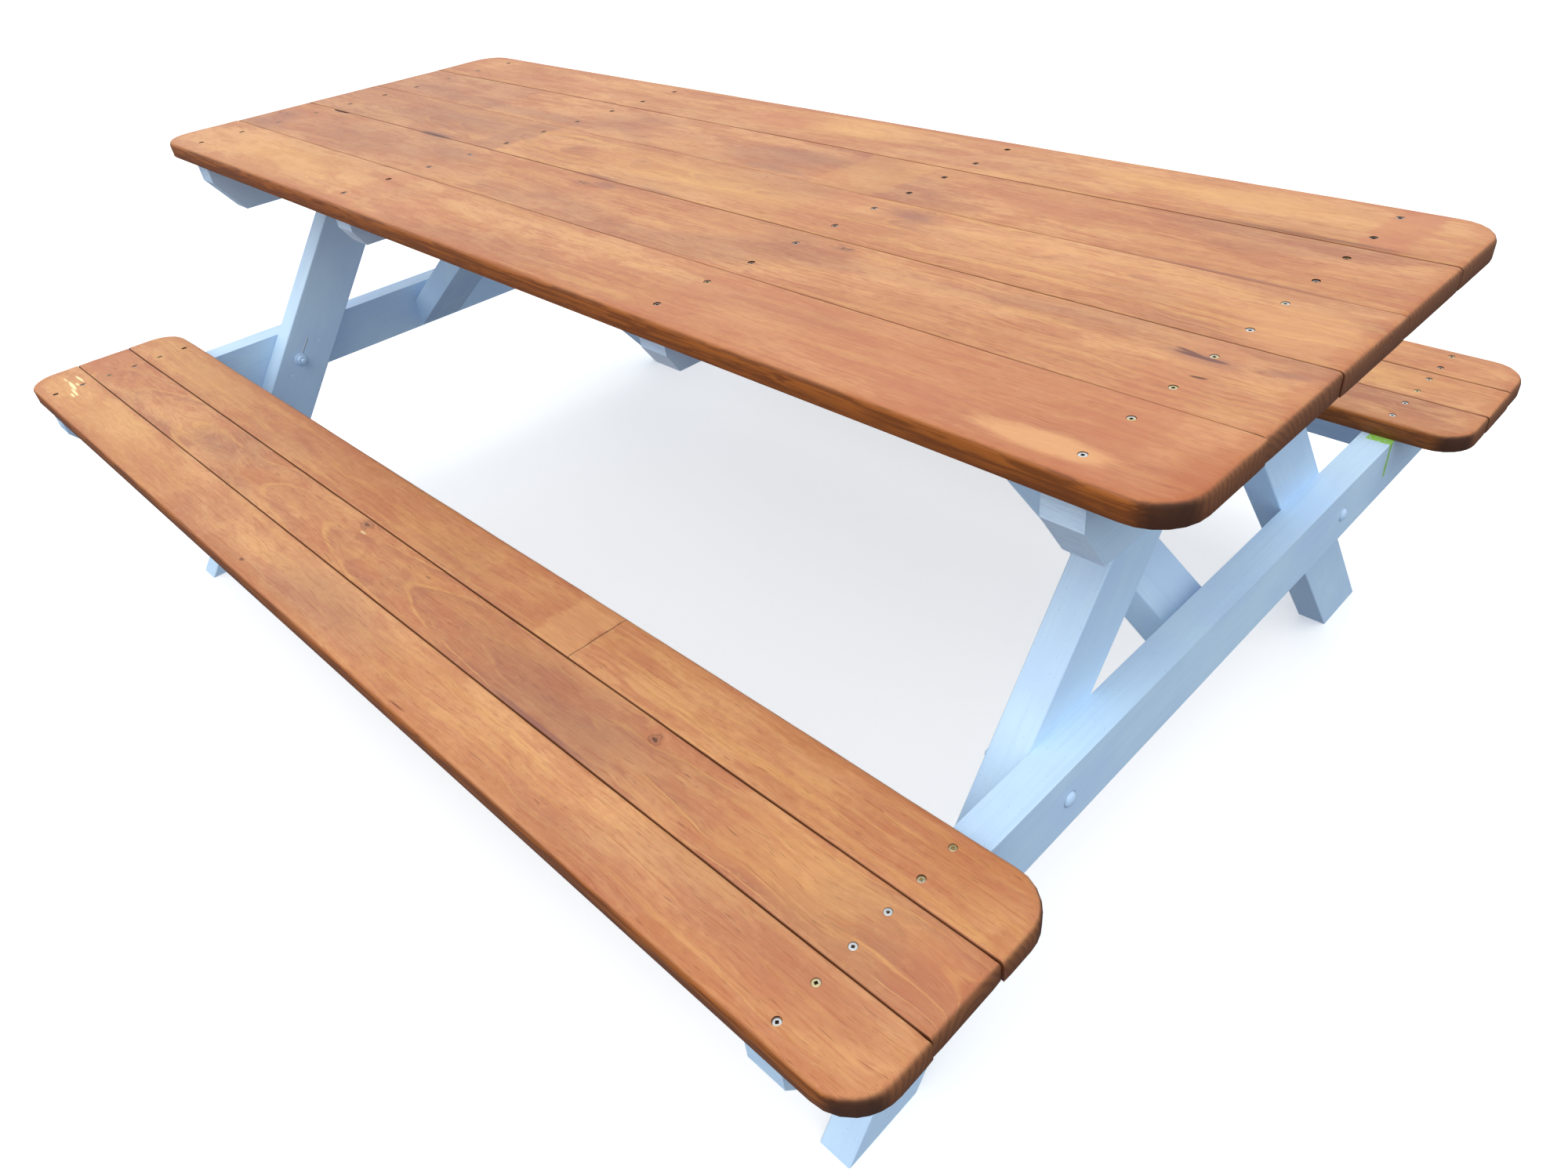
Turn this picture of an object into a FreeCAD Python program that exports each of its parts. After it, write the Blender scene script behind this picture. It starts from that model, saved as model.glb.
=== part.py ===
"""Picnic table: five-board top on two A-frames, with a three-board bench on each side.

Frame: X runs along the boards, Y across them and Z up. The origin is on the floor under the
middle of the table. "near" is the -Y side, "far" the +Y side, "left" the -X end and "right" +X.
"""
import FreeCAD, Part
import math
import os
import Sketcher

VECTOR = FreeCAD.Vector
NO_TURN = FreeCAD.Rotation()
HALF_TURN = FreeCAD.Rotation(VECTOR(0, 0, 1), 180)
ABOUT_Y = FreeCAD.Rotation(VECTOR(0, 1, 0), 90)
ABOUT_MINUS_Y = FreeCAD.Rotation(VECTOR(0, -1, 0), 90)

doc = FreeCAD.newDocument("picnic_table")

# ---------------------------------------------------------------- driving dimensions (mm)
DIMENSIONS = (
    ("table_length", 2050.0, "length of the top and of both benches"),
    ("table_height", 750.0, "floor to the top face of the table boards"),
    ("seat_height", 420.0, "floor to the top face of the bench boards"),
    ("board_width", 142.0, "width of a table board"),
    ("board_gap", 1.4, "gap between table boards"),
    ("seat_board_width", 88.0, "width of a bench board"),
    ("seat_gap", 2.0, "gap between bench boards"),
    ("seat_centre", 609.0, "middle of the bench from the middle of the table"),
    ("board_thickness", 26.0, "thickness of every table and bench board"),
    ("corner_radius", 50.0, "plan radius of the outer corners"),
    ("edge_round", 6.0, "rounding of the top edges around the outside"),
    ("joint_round", 1.5, "rounding of the top edges along the joints"),
    ("timber_thickness", 45.0, "thickness of the frame timbers"),
    ("timber_width", 90.0, "width of the frame timbers"),
    ("arris_round", 2.0, "rounding along the frame timbers"),
    ("frame_plane", 890.0, "contact plane of legs and beams from the middle of the table"),
    ("foot_centre", 589.0, "middle of a foot from the middle of the table"),
    ("apex_gap", 0.5, "half of the gap between the two legs where they meet"),
    ("end_cleat_depth", 95.0, "depth of the cleats bolted to the legs"),
    ("end_cleat_nose", 38.0, "upright part of an end cleat's end"),
    ("end_cleat_rake", 40.0, "run of the slanted cut on an end cleat"),
    ("middle_cleat_depth", 50.0, "depth of the two intermediate cleats"),
    ("middle_cleat_nose", 25.0, "upright part of a middle cleat's end"),
    ("middle_cleat_rake", 16.0, "run of the slanted cut on a middle cleat"),
    ("cleat_half_length", 340.0, "end of every cleat from the middle of the table"),
    ("middle_cleat_centre", 371.0, "middle cleats from the middle of the table"),
    ("beam_half_length", 738.0, "end of a seat beam from the middle of the table"),
    ("brace_drop", 32.0, "top of the brace below the top of the beam"),
    ("brace_clearance", 3.0, "top of the brace below the table boards"),
    ("screw_row", 918.0, "outer screw rows from the middle of the table"),
    ("screw_pair", 37.0, "screw from the middle of a table board"),
    ("seat_screw_pair", 22.5, "screw from the middle of a bench board"),
    ("screw_length", 65.0, "length of the board screws"),
    ("long_screw_length", 75.0, "length of the frame screws"),
    ("screw_shank", 4.8, "diameter of a screw"),
    ("screw_head", 9.4, "diameter of a countersunk head"),
    ("screw_sink", 0.5, "top of a screw head below the wood"),
    ("screw_hole", 5.0, "hole for a screw"),
    ("recess_size", 3.4, "side of the square recess in a head"),
    ("recess_depth", 2.2, "depth of the square recess"),
    ("bolt_shank", 10.0, "diameter of a coach bolt"),
    ("bolt_hole", 10.6, "hole for a coach bolt"),
    ("bolt_length", 106.0, "length of a coach bolt under its head"),
    ("bolt_head", 22.0, "diameter of the domed head"),
    ("bolt_head_height", 5.0, "height of the domed head"),
    ("neck_size", 10.2, "side of the square neck"),
    ("neck_depth", 5.0, "depth of the square neck"),
    ("washer_size", 24.0, "diameter of a washer"),
    ("washer_thickness", 2.0, "thickness of a washer"),
    ("nut_flats", 17.0, "width of a nut across its flats"),
    ("nut_height", 8.0, "height of a nut"),
    ("beam_bolt_centre", 327.0, "bolts through the beams from the middle of the table"),
    ("leg_screw_inner", 44.0, "upper leg screw from the bolt, towards the middle"),
    ("leg_screw_outer", 28.0, "lower leg screw from the bolt, away from the middle"),
    ("leg_screw_rise", 25.0, "upper leg screw above the bolt"),
    ("leg_screw_fall", 22.0, "lower leg screw below the bolt"),
    ("brace_screw_spread", 25.0, "brace screws from the middle of the brace"),
    ("brace_screw_drop", 27.5, "upper brace screws below the table boards"),
    ("toe_screw_start", 12.0, "toe screws from the lower end of the brace"),
    ("rail_screw_rise", 22.0, "rail screws from the middle of the beam's depth"),
    ("screw_tip", 0.3, "radius of a screw's point"),
    ("hole_spare", 1.0, "depth of a screw hole beyond its screw"),
    ("neck_slack", 0.1, "room around the square neck"),
    ("thread_slack", 0.1, "room between a bolt and the bore of its nut"),
)

sheet = doc.addObject("Spreadsheet::Sheet", "dims")
for row, (alias, value, meaning) in enumerate(DIMENSIONS, 1):
    sheet.set(f"A{row}", meaning)
    sheet.set(f"B{row}", str(value))
    sheet.setAlias(f"B{row}", alias)
doc.recompute()

# ---------------------------------------------------------------- formulas shared by the parts
UNDERSIDE = "(dims.table_height - dims.board_thickness)"
SEAT_UNDERSIDE = "(dims.seat_height - dims.board_thickness)"
BEAM_MIDDLE = f"({SEAT_UNDERSIDE} - dims.timber_width / 2)"
HALF_THICK = "(dims.timber_thickness / 2)"
BEAM_CENTRE = f"(dims.frame_plane + {HALF_THICK})"
LEG_CENTRE = f"(dims.frame_plane - {HALF_THICK})"
LEG_SLOPE = "(dims.foot_centre / dims.table_height)"
LEG_HALF_RUN = f"(dims.timber_width / 2 * sqrt(1 + {LEG_SLOPE} ^ 2))"
CLEAT_BOLT_DROP = "(dims.board_thickness + dims.end_cleat_depth / 2)"
BRACE_LOW = f"({SEAT_UNDERSIDE} - dims.brace_drop)"
BRACE_HIGH = f"({UNDERSIDE} - dims.brace_clearance)"
BRACE_TOP_END = f"(dims.middle_cleat_centre + {HALF_THICK})"
BRACE_SLOPE = f"(({BRACE_HIGH} - {BRACE_LOW}) / (dims.frame_plane - {BRACE_TOP_END}))"
BRACE_LEAN = f"sqrt(1 + {BRACE_SLOPE} ^ 2)"
BRACE_FALL = f"(dims.timber_thickness * {BRACE_LEAN})"


def size(alias):
    """A driving dimension as a number."""
    return float(sheet.get(alias))


# ---------------------------------------------------------------- sketch and body helpers
def new_body(label):
    body = doc.addObject("PartDesign::Body", label)
    body.Label = label
    return body


def place(item, rotation, x="0", y="0", z="0", angle=None):
    """Turns an item and binds its position, and its angle if one is given, to formulas."""
    item.Placement = FreeCAD.Placement(VECTOR(), rotation)
    for axis, formula in zip("xyz", (x, y, z)):
        item.setExpression(f"Placement.Base.{axis}", formula)
    if angle:
        item.setExpression("Placement.Rotation.Angle", angle)


def new_sketch(body, name, role, offset="0"):
    """A sketch parallel to one of the body's own origin planes, at an offset along its normal."""
    plane = [part for part in body.Origin.OriginFeatures if part.Role == role][0]
    sketch = body.newObject("Sketcher::SketchObject", name)
    sketch.AttachmentSupport = [(plane, "")]
    sketch.MapMode = "FlatFace"
    sketch.setExpression("AttachmentOffset.Base.z", offset)
    return sketch


def pin_point(sketch, line, end, x, y):
    """Fixes one end of a sketch line at two formulas."""
    for kind, formula in (("DistanceX", x), ("DistanceY", y)):
        index = sketch.addConstraint(Sketcher.Constraint(kind, -1, 1, line, end, 1.0))
        sketch.setExpression(f"Constraints[{index}]", formula)


def polygon(sketch, corners):
    """A closed outline through corners given as pairs of formulas."""
    count = len(corners)
    first = sketch.GeometryCount
    rough = [VECTOR(math.cos(2 * math.pi * step / count), math.sin(2 * math.pi * step / count), 0)
             for step in range(count)]
    for step in range(count):
        sketch.addGeometry(Part.LineSegment(rough[step], rough[(step + 1) % count]))
    for step in range(count):
        line = first + step
        following = first + (step + 1) % count
        sketch.addConstraint(Sketcher.Constraint("Coincident", line, 2, following, 1))
        pin_point(sketch, line, 1, *corners[step])


def circles(sketch, centres, diameter):
    """Circles of one diameter on centres given as pairs of formulas."""
    for step, (x, y) in enumerate(centres):
        sketch.addGeometry(Part.Circle(VECTOR(10 * step, 5, 0), VECTOR(0, 0, 1), 2))
        pin_point(sketch, step, 3, x, y)
        index = sketch.addConstraint(Sketcher.Constraint("Diameter", step, 4.0))
        sketch.setExpression(f"Constraints[{index}]", diameter)


def pad(body, sketch, name, length, midplane):
    feature = body.newObject("PartDesign::Pad", name)
    feature.Profile = sketch
    feature.SideType = "Symmetric" if midplane else "One side"
    feature.Reversed = not midplane
    feature.setExpression("Length", length)
    doc.recompute()


def check_cut(body, name, before):
    """Stops if a feature has taken no material away."""
    if body.Shape.Volume >= before - 1.0:
        raise RuntimeError(f"{body.Label}: {name} cuts nothing")


def pocket(body, sketch, name, depth, reverse=False):
    """Cuts a sketch's outline to a depth, against the sketch's normal unless reversed."""
    before = body.Shape.Volume
    feature = body.newObject("PartDesign::Pocket", name)
    feature.Profile = sketch
    feature.Reversed = reverse
    feature.setExpression("Length", depth)
    doc.recompute()
    check_cut(body, name, before)


def drill(body, name, role, centres, diameter, start, depth, reverse=False):
    """Straight round holes that start at an offset plane."""
    sketch = new_sketch(body, name + "_sketch", role, start)
    circles(sketch, centres, diameter)
    pocket(body, sketch, name, depth, reverse)


def countersink(body, name, role, centres, start, reverse=False):
    """Screw holes right through the body, with a seat for the head at the plane they start from."""
    doc.recompute()
    sketch = new_sketch(body, name + "_sketch", role, start)
    circles(sketch, centres, "dims.screw_hole")
    doc.recompute()
    before = body.Shape.Volume
    hole = body.newObject("PartDesign::Hole", name)
    hole.Profile = sketch
    hole.ThreadType = "None"
    hole.DepthType = "ThroughAll"
    hole.Reversed = reverse
    hole.setExpression("Diameter", "dims.screw_hole")
    hole.HoleCutType = "Countersink"
    hole.HoleCutCustomValues = True
    hole.HoleCutCountersinkAngle = 90
    hole.setExpression("HoleCutDiameter", "dims.screw_head + 2 * dims.screw_sink")
    doc.recompute()
    check_cut(body, name, before)


def round_edges(body, name, radius, wanted):
    """Rounds every edge of the body's last feature that 'wanted' accepts."""
    base = body.Tip
    names = [f"Edge{n}" for n, edge in enumerate(base.Shape.Edges, 1) if wanted(edge)]
    fillet = body.newObject("PartDesign::Fillet", name)
    fillet.Base = (base, names)
    fillet.setExpression("Radius", radius)
    doc.recompute()


def is_lengthwise(edge):
    """True for the edges that run along a timber from end to end."""
    return edge.Length > size("cleat_half_length")


def is_upright(edge):
    return abs(edge.tangentAt(edge.FirstParameter).z) > 0.99


def is_on_top(edge):
    return abs(edge.CenterOfMass.z) < 0.01


def is_low(edge):
    return edge.CenterOfMass.z < -size("middle_cleat_depth") / 2


# ---------------------------------------------------------------- boards
def board(label, width, y, top, rounded, rows, pair):
    """A board lying along X; 'rounded' lists the sides (-1 near, +1 far) with round corners."""
    body = new_body(label)
    outline = new_sketch(body, label + "_outline", "XY_Plane")
    half_length = "dims.table_length / 2"
    half_width = f"{width} / 2"
    polygon(outline, ((f"-{half_length}", f"-{half_width}"), (half_length, f"-{half_width}"),
                      (half_length, half_width), (f"-{half_length}", half_width)))
    pad(body, outline, label + "_pad", "dims.board_thickness", False)

    def is_outer(edge):
        return any(edge.CenterOfMass.y * side > 0 for side in rounded)

    def is_joint(edge):
        return is_on_top(edge) and is_lengthwise(edge) and not is_outer(edge)

    if rounded:
        round_edges(body, label + "_corners", "dims.corner_radius",
                    lambda edge: is_upright(edge) and is_outer(edge))
    round_edges(body, label + "_joint_edges", "dims.joint_round", is_joint)
    round_edges(body, label + "_outer_edges", "dims.edge_round",
                lambda edge: is_on_top(edge) and not is_joint(edge))
    centres = [(x, f"{sign}{pair}") for x in rows for sign in ("-", "")]
    countersink(body, label + "_screw_holes", "XY_Plane", centres, "0")
    place(body, NO_TURN, y=y, z=top)
    return body


END_ROWS = ("-dims.screw_row", "dims.screw_row")
TABLE_ROWS = (END_ROWS[0], "-dims.middle_cleat_centre", "dims.middle_cleat_centre", END_ROWS[1])
TABLE_BOARD_CENTRES = [f"({step} * (dims.board_width + dims.board_gap))"
                       for step in (-2, -1, 0, 1, 2)]
SEAT_STEPS = (-1, 0, 1)


def seat_board_centre(side, step):
    """Centre of a bench board; step counts outwards from the middle board."""
    return f"({side} * (dims.seat_centre + {step} * (dims.seat_board_width + dims.seat_gap)))"


timbers = []
for number, centre in enumerate(TABLE_BOARD_CENTRES, 1):
    rounded_sides = {1: (-1,), 5: (1,)}.get(number, ())
    timbers.append(board(f"table_board_{number}", "dims.board_width", centre, "dims.table_height",
                         rounded_sides, TABLE_ROWS, "dims.screw_pair"))
for side_name, side in (("near", -1), ("far", 1)):
    for number, step in enumerate(SEAT_STEPS, 1):
        rounded_sides = (side * step,) if step else ()
        timbers.append(board(f"{side_name}_seat_board_{number}", "dims.seat_board_width",
                             seat_board_centre(side, step), "dims.seat_height",
                             rounded_sides, END_ROWS, "dims.seat_screw_pair"))


# ---------------------------------------------------------------- cleats and seat beams
def crossbar(label, x, top, half, depth, nose, rake):
    """A timber lying along Y with both ends cut back below an upright nose."""
    body = new_body(label)
    outline = new_sketch(body, label + "_outline", "YZ_Plane")
    polygon(outline, ((f"-{half}", "0"), (f"-{half}", f"-{nose}"),
                      (f"-({half} - {rake})", f"-{depth}"), (f"{half} - {rake}", f"-{depth}"),
                      (half, f"-{nose}"), (half, "0")))
    pad(body, outline, label + "_pad", "dims.timber_thickness", True)
    round_edges(body, label + "_arris", "dims.arris_round",
                lambda edge: is_lengthwise(edge) and is_low(edge))
    place(body, HALF_TURN if x.startswith("-") else NO_TURN, x=x, z=top)
    return body


TABLE_SCREW_LINE = [f"{centre} {sign} dims.screw_pair" for centre in TABLE_BOARD_CENTRES
                    for sign in ("-", "+")]
SEAT_SCREW_LINE = [f"{seat_board_centre(side, step)} {sign} dims.seat_screw_pair"
                   for side in (-1, 1) for step in SEAT_STEPS for sign in ("-", "+")]
BITE = "dims.screw_length - dims.screw_sink - dims.board_thickness + dims.hole_spare"
LONG_BITE = "dims.long_screw_length - dims.screw_sink - dims.timber_thickness + dims.hole_spare"
SCREW_LINE_OFFSET = f"dims.screw_row - {BEAM_CENTRE}"
BEAM_BOLTS = [(f"{sign}dims.beam_bolt_centre", "-dims.timber_width / 2") for sign in ("-", "")]
CLEAT_BOLT_RUN = f"({CLEAT_BOLT_DROP} * {LEG_SLOPE})"
CLEAT_BOLTS = [(f"{sign}{CLEAT_BOLT_RUN}", "-dims.end_cleat_depth / 2") for sign in ("-", "")]
LEG_SCREWS = [(f"{side} * (dims.beam_bolt_centre {shift})", height)
              for side in (-1, 1)
              for shift, height in (("- dims.leg_screw_inner", "dims.leg_screw_rise"),
                                    ("+ dims.leg_screw_outer", "-dims.leg_screw_fall"))]


def square_necks(body, name, centres):
    """Square seats for the coach bolts' necks in the outer face."""
    sketch = new_sketch(body, name + "_sketch", "YZ_Plane", HALF_THICK)
    half = "dims.neck_size / 2"
    for x, y in centres:
        polygon(sketch, [(f"{x} {sign_x} {half}", f"{y} {sign_y} {half}")
                         for sign_x, sign_y in ("--", "+-", "++", "-+")])
    pocket(body, sketch, name, "dims.neck_depth")


def end_cleat(label, x):
    body = crossbar(label, x, UNDERSIDE, "dims.cleat_half_length", "dims.end_cleat_depth",
                    "dims.end_cleat_nose", "dims.end_cleat_rake")
    drill(body, label + "_screw_holes", "XY_Plane",
          [(SCREW_LINE_OFFSET, y) for y in TABLE_SCREW_LINE], "dims.screw_hole", "0", BITE)
    drill(body, label + "_bolt_holes", "YZ_Plane", CLEAT_BOLTS, "dims.bolt_hole",
          HALF_THICK, "dims.timber_thickness")
    square_necks(body, label + "_necks", CLEAT_BOLTS)
    return body


def middle_cleat(label, x):
    body = crossbar(label, x, UNDERSIDE, "dims.cleat_half_length", "dims.middle_cleat_depth",
                    "dims.middle_cleat_nose", "dims.middle_cleat_rake")
    drill(body, label + "_screw_holes", "XY_Plane", [("0", y) for y in TABLE_SCREW_LINE],
          "dims.screw_hole", "0", BITE)
    countersink(body, label + "_brace_holes", "YZ_Plane", BRACE_HIGH_SCREWS, f"-{HALF_THICK}", True)
    return body


def toe_cut(body, kind, name, x, y, z, **sizes):
    """A slanted cut square to the brace, pointing up and outwards from its underside."""
    before = body.Shape.Volume
    tool = body.newObject("PartDesign::Subtractive" + kind, name)
    tool.MapMode = "Deactivated"
    for prop, formula in sizes.items():
        tool.setExpression(prop, formula)
    place(tool, ABOUT_Y, x, y, z, f"atan({BRACE_SLOPE})")
    doc.recompute()
    check_cut(body, name, before)


TOE_X = "(dims.frame_plane - dims.toe_screw_start)"
TOE_Z = f"({BRACE_LOW} - {BRACE_FALL} + dims.toe_screw_start * {BRACE_SLOPE})"
TOE_SIDES = ("-dims.brace_screw_spread", "dims.brace_screw_spread")
BRACE_HIGH_SCREWS = [(y, "-dims.brace_screw_drop") for y in TOE_SIDES]
RAIL_SCREWS = [(f"{side} * dims.seat_centre", f"-dims.timber_width / 2 {sign} dims.rail_screw_rise")
               for side in (-1, 1) for sign in ("-", "+")]


def seat_beam(label, x):
    body = crossbar(label, x, SEAT_UNDERSIDE, "dims.beam_half_length", "dims.timber_width",
                    "dims.end_cleat_nose", "dims.end_cleat_rake")
    drill(body, label + "_screw_holes", "XY_Plane",
          [(SCREW_LINE_OFFSET, y) for y in SEAT_SCREW_LINE], "dims.screw_hole", "0", BITE)
    drill(body, label + "_bolt_holes", "YZ_Plane", BEAM_BOLTS, "dims.bolt_hole",
          HALF_THICK, "dims.timber_thickness")
    square_necks(body, label + "_necks", BEAM_BOLTS)
    leg_screws = [(y, f"-dims.timber_width / 2 + {z}") for y, z in LEG_SCREWS]
    drill(body, label + "_leg_screw_holes", "YZ_Plane", leg_screws, "dims.screw_hole",
          f"-{HALF_THICK}", LONG_BITE, True)
    countersink(body, label + "_rail_holes", "YZ_Plane", RAIL_SCREWS, HALF_THICK)
    for number, y in enumerate(TOE_SIDES, 1):
        toe_cut(body, "Cylinder", f"{label}_toe_hole_{number}", f"{TOE_X} - {BEAM_CENTRE}", y,
                f"{TOE_Z} - {SEAT_UNDERSIDE}", Radius="dims.screw_hole / 2",
                Height="dims.screw_length - dims.screw_sink + dims.hole_spare")
    return body


timbers.append(end_cleat("end_cleat_left", f"-{BEAM_CENTRE}"))
timbers.append(end_cleat("end_cleat_right", BEAM_CENTRE))
timbers.append(middle_cleat("middle_cleat_left", "-dims.middle_cleat_centre"))
timbers.append(middle_cleat("middle_cleat_right", "dims.middle_cleat_centre"))
timbers.append(seat_beam("seat_beam_left", f"-{BEAM_CENTRE}"))
timbers.append(seat_beam("seat_beam_right", BEAM_CENTRE))


# ---------------------------------------------------------------- legs
def leg(label, side, rotation):
    """A splayed leg: 'side' is -1 or +1 along the body's own Y before it is turned."""
    body = new_body(label)
    outline = new_sketch(body, label + "_outline", "YZ_Plane")
    outer_top = f"{side} * ({LEG_HALF_RUN} + {LEG_SLOPE} * dims.board_thickness)"
    outer_foot = f"{side} * (dims.foot_centre + {LEG_HALF_RUN})"
    inner_foot = f"{side} * (dims.foot_centre - {LEG_HALF_RUN})"
    mitre = f"{side} * dims.apex_gap"
    mitre_low = f"dims.table_height - ({LEG_HALF_RUN} + dims.apex_gap) / {LEG_SLOPE}"
    polygon(outline, ((mitre, UNDERSIDE), (mitre, mitre_low), (inner_foot, "0"),
                      (outer_foot, "0"), (outer_top, UNDERSIDE)))
    pad(body, outline, label + "_pad", "dims.timber_thickness", True)
    round_edges(body, label + "_arris", "dims.arris_round", is_lengthwise)
    beam_bolt = (f"{side} * dims.beam_bolt_centre", BEAM_MIDDLE)
    cleat_bolt = (f"{side} * {CLEAT_BOLT_RUN}", f"dims.table_height - {CLEAT_BOLT_DROP}")
    drill(body, label + "_bolt_holes", "YZ_Plane", (beam_bolt, cleat_bolt), "dims.bolt_hole",
          HALF_THICK, "dims.timber_thickness")
    screws = [(y, f"{BEAM_MIDDLE} + {z}") for y, z in LEG_SCREWS if y.startswith(f"{side} ")]
    countersink(body, label + "_screw_holes", "YZ_Plane", screws, f"-{HALF_THICK}", True)
    place(body, rotation, x=LEG_CENTRE if rotation == NO_TURN else f"-{LEG_CENTRE}")
    return body


for label, side, rotation in (("leg_right_near", -1, NO_TURN), ("leg_right_far", 1, NO_TURN),
                              ("leg_left_far", -1, HALF_TURN), ("leg_left_near", 1, HALF_TURN)):
    timbers.append(leg(label, side, rotation))


# ---------------------------------------------------------------- braces and seat rails
def brace(label, rotation):
    """A flat brace from the inside of a seat beam up to the outside of a middle cleat."""
    body = new_body(label)
    outline = new_sketch(body, label + "_outline", "XZ_Plane")
    polygon(outline, (("dims.frame_plane", BRACE_LOW), (BRACE_TOP_END, BRACE_HIGH),
                      (BRACE_TOP_END, f"{BRACE_HIGH} - {BRACE_FALL}"),
                      ("dims.frame_plane", f"{BRACE_LOW} - {BRACE_FALL}")))
    pad(body, outline, label + "_pad", "dims.timber_width", True)
    round_edges(body, label + "_arris", "dims.arris_round", is_lengthwise)
    high_screws = [(y, f"{UNDERSIDE} - dims.brace_screw_drop") for y in TOE_SIDES]
    drill(body, label + "_high_holes", "YZ_Plane", high_screws, "dims.screw_hole", BRACE_TOP_END,
          LONG_BITE, True)
    for number, y in enumerate(TOE_SIDES, 1):
        toe_cut(body, "Cylinder", f"{label}_toe_hole_{number}", TOE_X, y, TOE_Z,
                Radius="dims.screw_hole / 2", Height="dims.screw_length")
        toe_cut(body, "Cone", f"{label}_toe_seat_{number}", TOE_X, y, TOE_Z,
                Radius1="dims.screw_head / 2 + dims.screw_sink", Radius2="dims.screw_hole / 2",
                Height="(dims.screw_head - dims.screw_hole) / 2 + dims.screw_sink")
    place(body, rotation)
    return body


def seat_rail(label, side):
    """A rail on edge under the middle of a bench, between the two seat beams."""
    body = new_body(label)
    outline = new_sketch(body, label + "_outline", "YZ_Plane")
    polygon(outline, ((f"-{HALF_THICK}", "0"), (f"-{HALF_THICK}", "-dims.timber_width"),
                      (HALF_THICK, "-dims.timber_width"), (HALF_THICK, "0")))
    pad(body, outline, label + "_pad", "2 * dims.frame_plane", True)
    round_edges(body, label + "_arris", "dims.arris_round",
                lambda edge: is_lengthwise(edge) and is_low(edge))
    centres = [("0", f"-dims.timber_width / 2 {sign} dims.rail_screw_rise") for sign in ("-", "+")]
    drill(body, label + "_right_holes", "YZ_Plane", centres, "dims.screw_hole",
          "dims.frame_plane", LONG_BITE)
    drill(body, label + "_left_holes", "YZ_Plane", centres, "dims.screw_hole",
          "-dims.frame_plane", LONG_BITE, True)
    place(body, NO_TURN, y=f"{side} * dims.seat_centre", z=SEAT_UNDERSIDE)
    return body


timbers.append(brace("brace_right", NO_TURN))
timbers.append(brace("brace_left", HALF_TURN))
timbers.append(seat_rail("seat_rail_near", -1))
timbers.append(seat_rail("seat_rail_far", 1))


# ---------------------------------------------------------------- patterns for the fasteners
def primitive(kind, name, **formulas):
    item = doc.addObject("Part::" + kind, name)
    for prop, formula in formulas.items():
        item.setExpression(prop.replace("_", "."), formula)
    return item


def fused(name, *parts):
    item = doc.addObject("Part::MultiFuse", name)
    item.Shapes = list(parts)
    return item


def cut(name, base, tool):
    item = doc.addObject("Part::Cut", name)
    item.Base = base
    item.Tool = tool
    return item


def screw_pattern(name, length):
    """A countersunk screw pointing down from the centre of its head, with a square recess."""
    sink = "((dims.screw_head - dims.screw_shank) / 2)"
    tip = "dims.screw_shank"
    head = primitive("Cone", name + "_head", Radius1="dims.screw_shank / 2",
                     Radius2="dims.screw_head / 2", Height=sink, Placement_Base_z=f"-{sink}")
    shank = primitive("Cylinder", name + "_shank", Radius="dims.screw_shank / 2",
                      Height=f"{length} - {sink} - {tip}", Placement_Base_z=f"{tip} - {length}")
    point = primitive("Cone", name + "_point", Radius1="dims.screw_tip", Radius2="dims.screw_shank / 2",
                      Height=tip, Placement_Base_z=f"-{length}")
    recess = primitive("Box", name + "_recess", Length="dims.recess_size", Width="dims.recess_size",
                       Height="2 * dims.recess_depth", Placement_Base_x="-dims.recess_size / 2",
                       Placement_Base_y="-dims.recess_size / 2",
                       Placement_Base_z="-dims.recess_depth")
    return cut(name, fused(name + "_solid", head, shank, point), recess)


def bolt_pattern():
    """A coach bolt pointing down from the underside of its domed head."""
    dome = "((dims.bolt_head ^ 2 / 4 + dims.bolt_head_height ^ 2) / (2 * dims.bolt_head_height))"
    cap = primitive("Sphere", "bolt_cap", Radius=dome, Placement_Base_z=f"dims.bolt_head_height - {dome}",
                    Angle1=f"asin(1 - dims.bolt_head_height / {dome})")
    side = "dims.neck_size - 2 * dims.neck_slack"
    neck = primitive("Box", "bolt_neck", Length=side, Width=side,
                     Height="dims.neck_depth - dims.neck_slack",
                     Placement_Base_x="dims.neck_slack - dims.neck_size / 2",
                     Placement_Base_y="dims.neck_slack - dims.neck_size / 2",
                     Placement_Base_z="dims.neck_slack - dims.neck_depth")
    shank = primitive("Cylinder", "bolt_rod", Radius="dims.bolt_shank / 2",
                      Height="dims.bolt_length", Placement_Base_z="-dims.bolt_length")
    return fused("bolt_pattern", cap, neck, shank)


def washer_pattern():
    """A flat washer standing on the origin."""
    disc = primitive("Cylinder", "washer_disc", Radius="dims.washer_size / 2",
                     Height="dims.washer_thickness")
    hole = primitive("Cylinder", "washer_hole", Radius="dims.bolt_hole / 2",
                     Height="dims.washer_thickness")
    return cut("washer_pattern", disc, hole)


def nut_pattern():
    """A hexagon nut standing on the origin, its bore just clear of the bolt."""
    prism = primitive("Prism", "nut_prism", Circumradius="dims.nut_flats / sqrt(3)",
                      Height="dims.nut_height")
    prism.Polygon = 6
    bore = primitive("Cylinder", "nut_bore", Radius="dims.bolt_shank / 2 + dims.thread_slack",
                     Height="dims.nut_height")
    return cut("nut_pattern", prism, bore)


board_screw = screw_pattern("board_screw", "dims.screw_length")
frame_screw = screw_pattern("frame_screw", "dims.long_screw_length")
bolt = bolt_pattern()
washer = washer_pattern()
nut = nut_pattern()
doc.recompute()

groups = []


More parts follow.
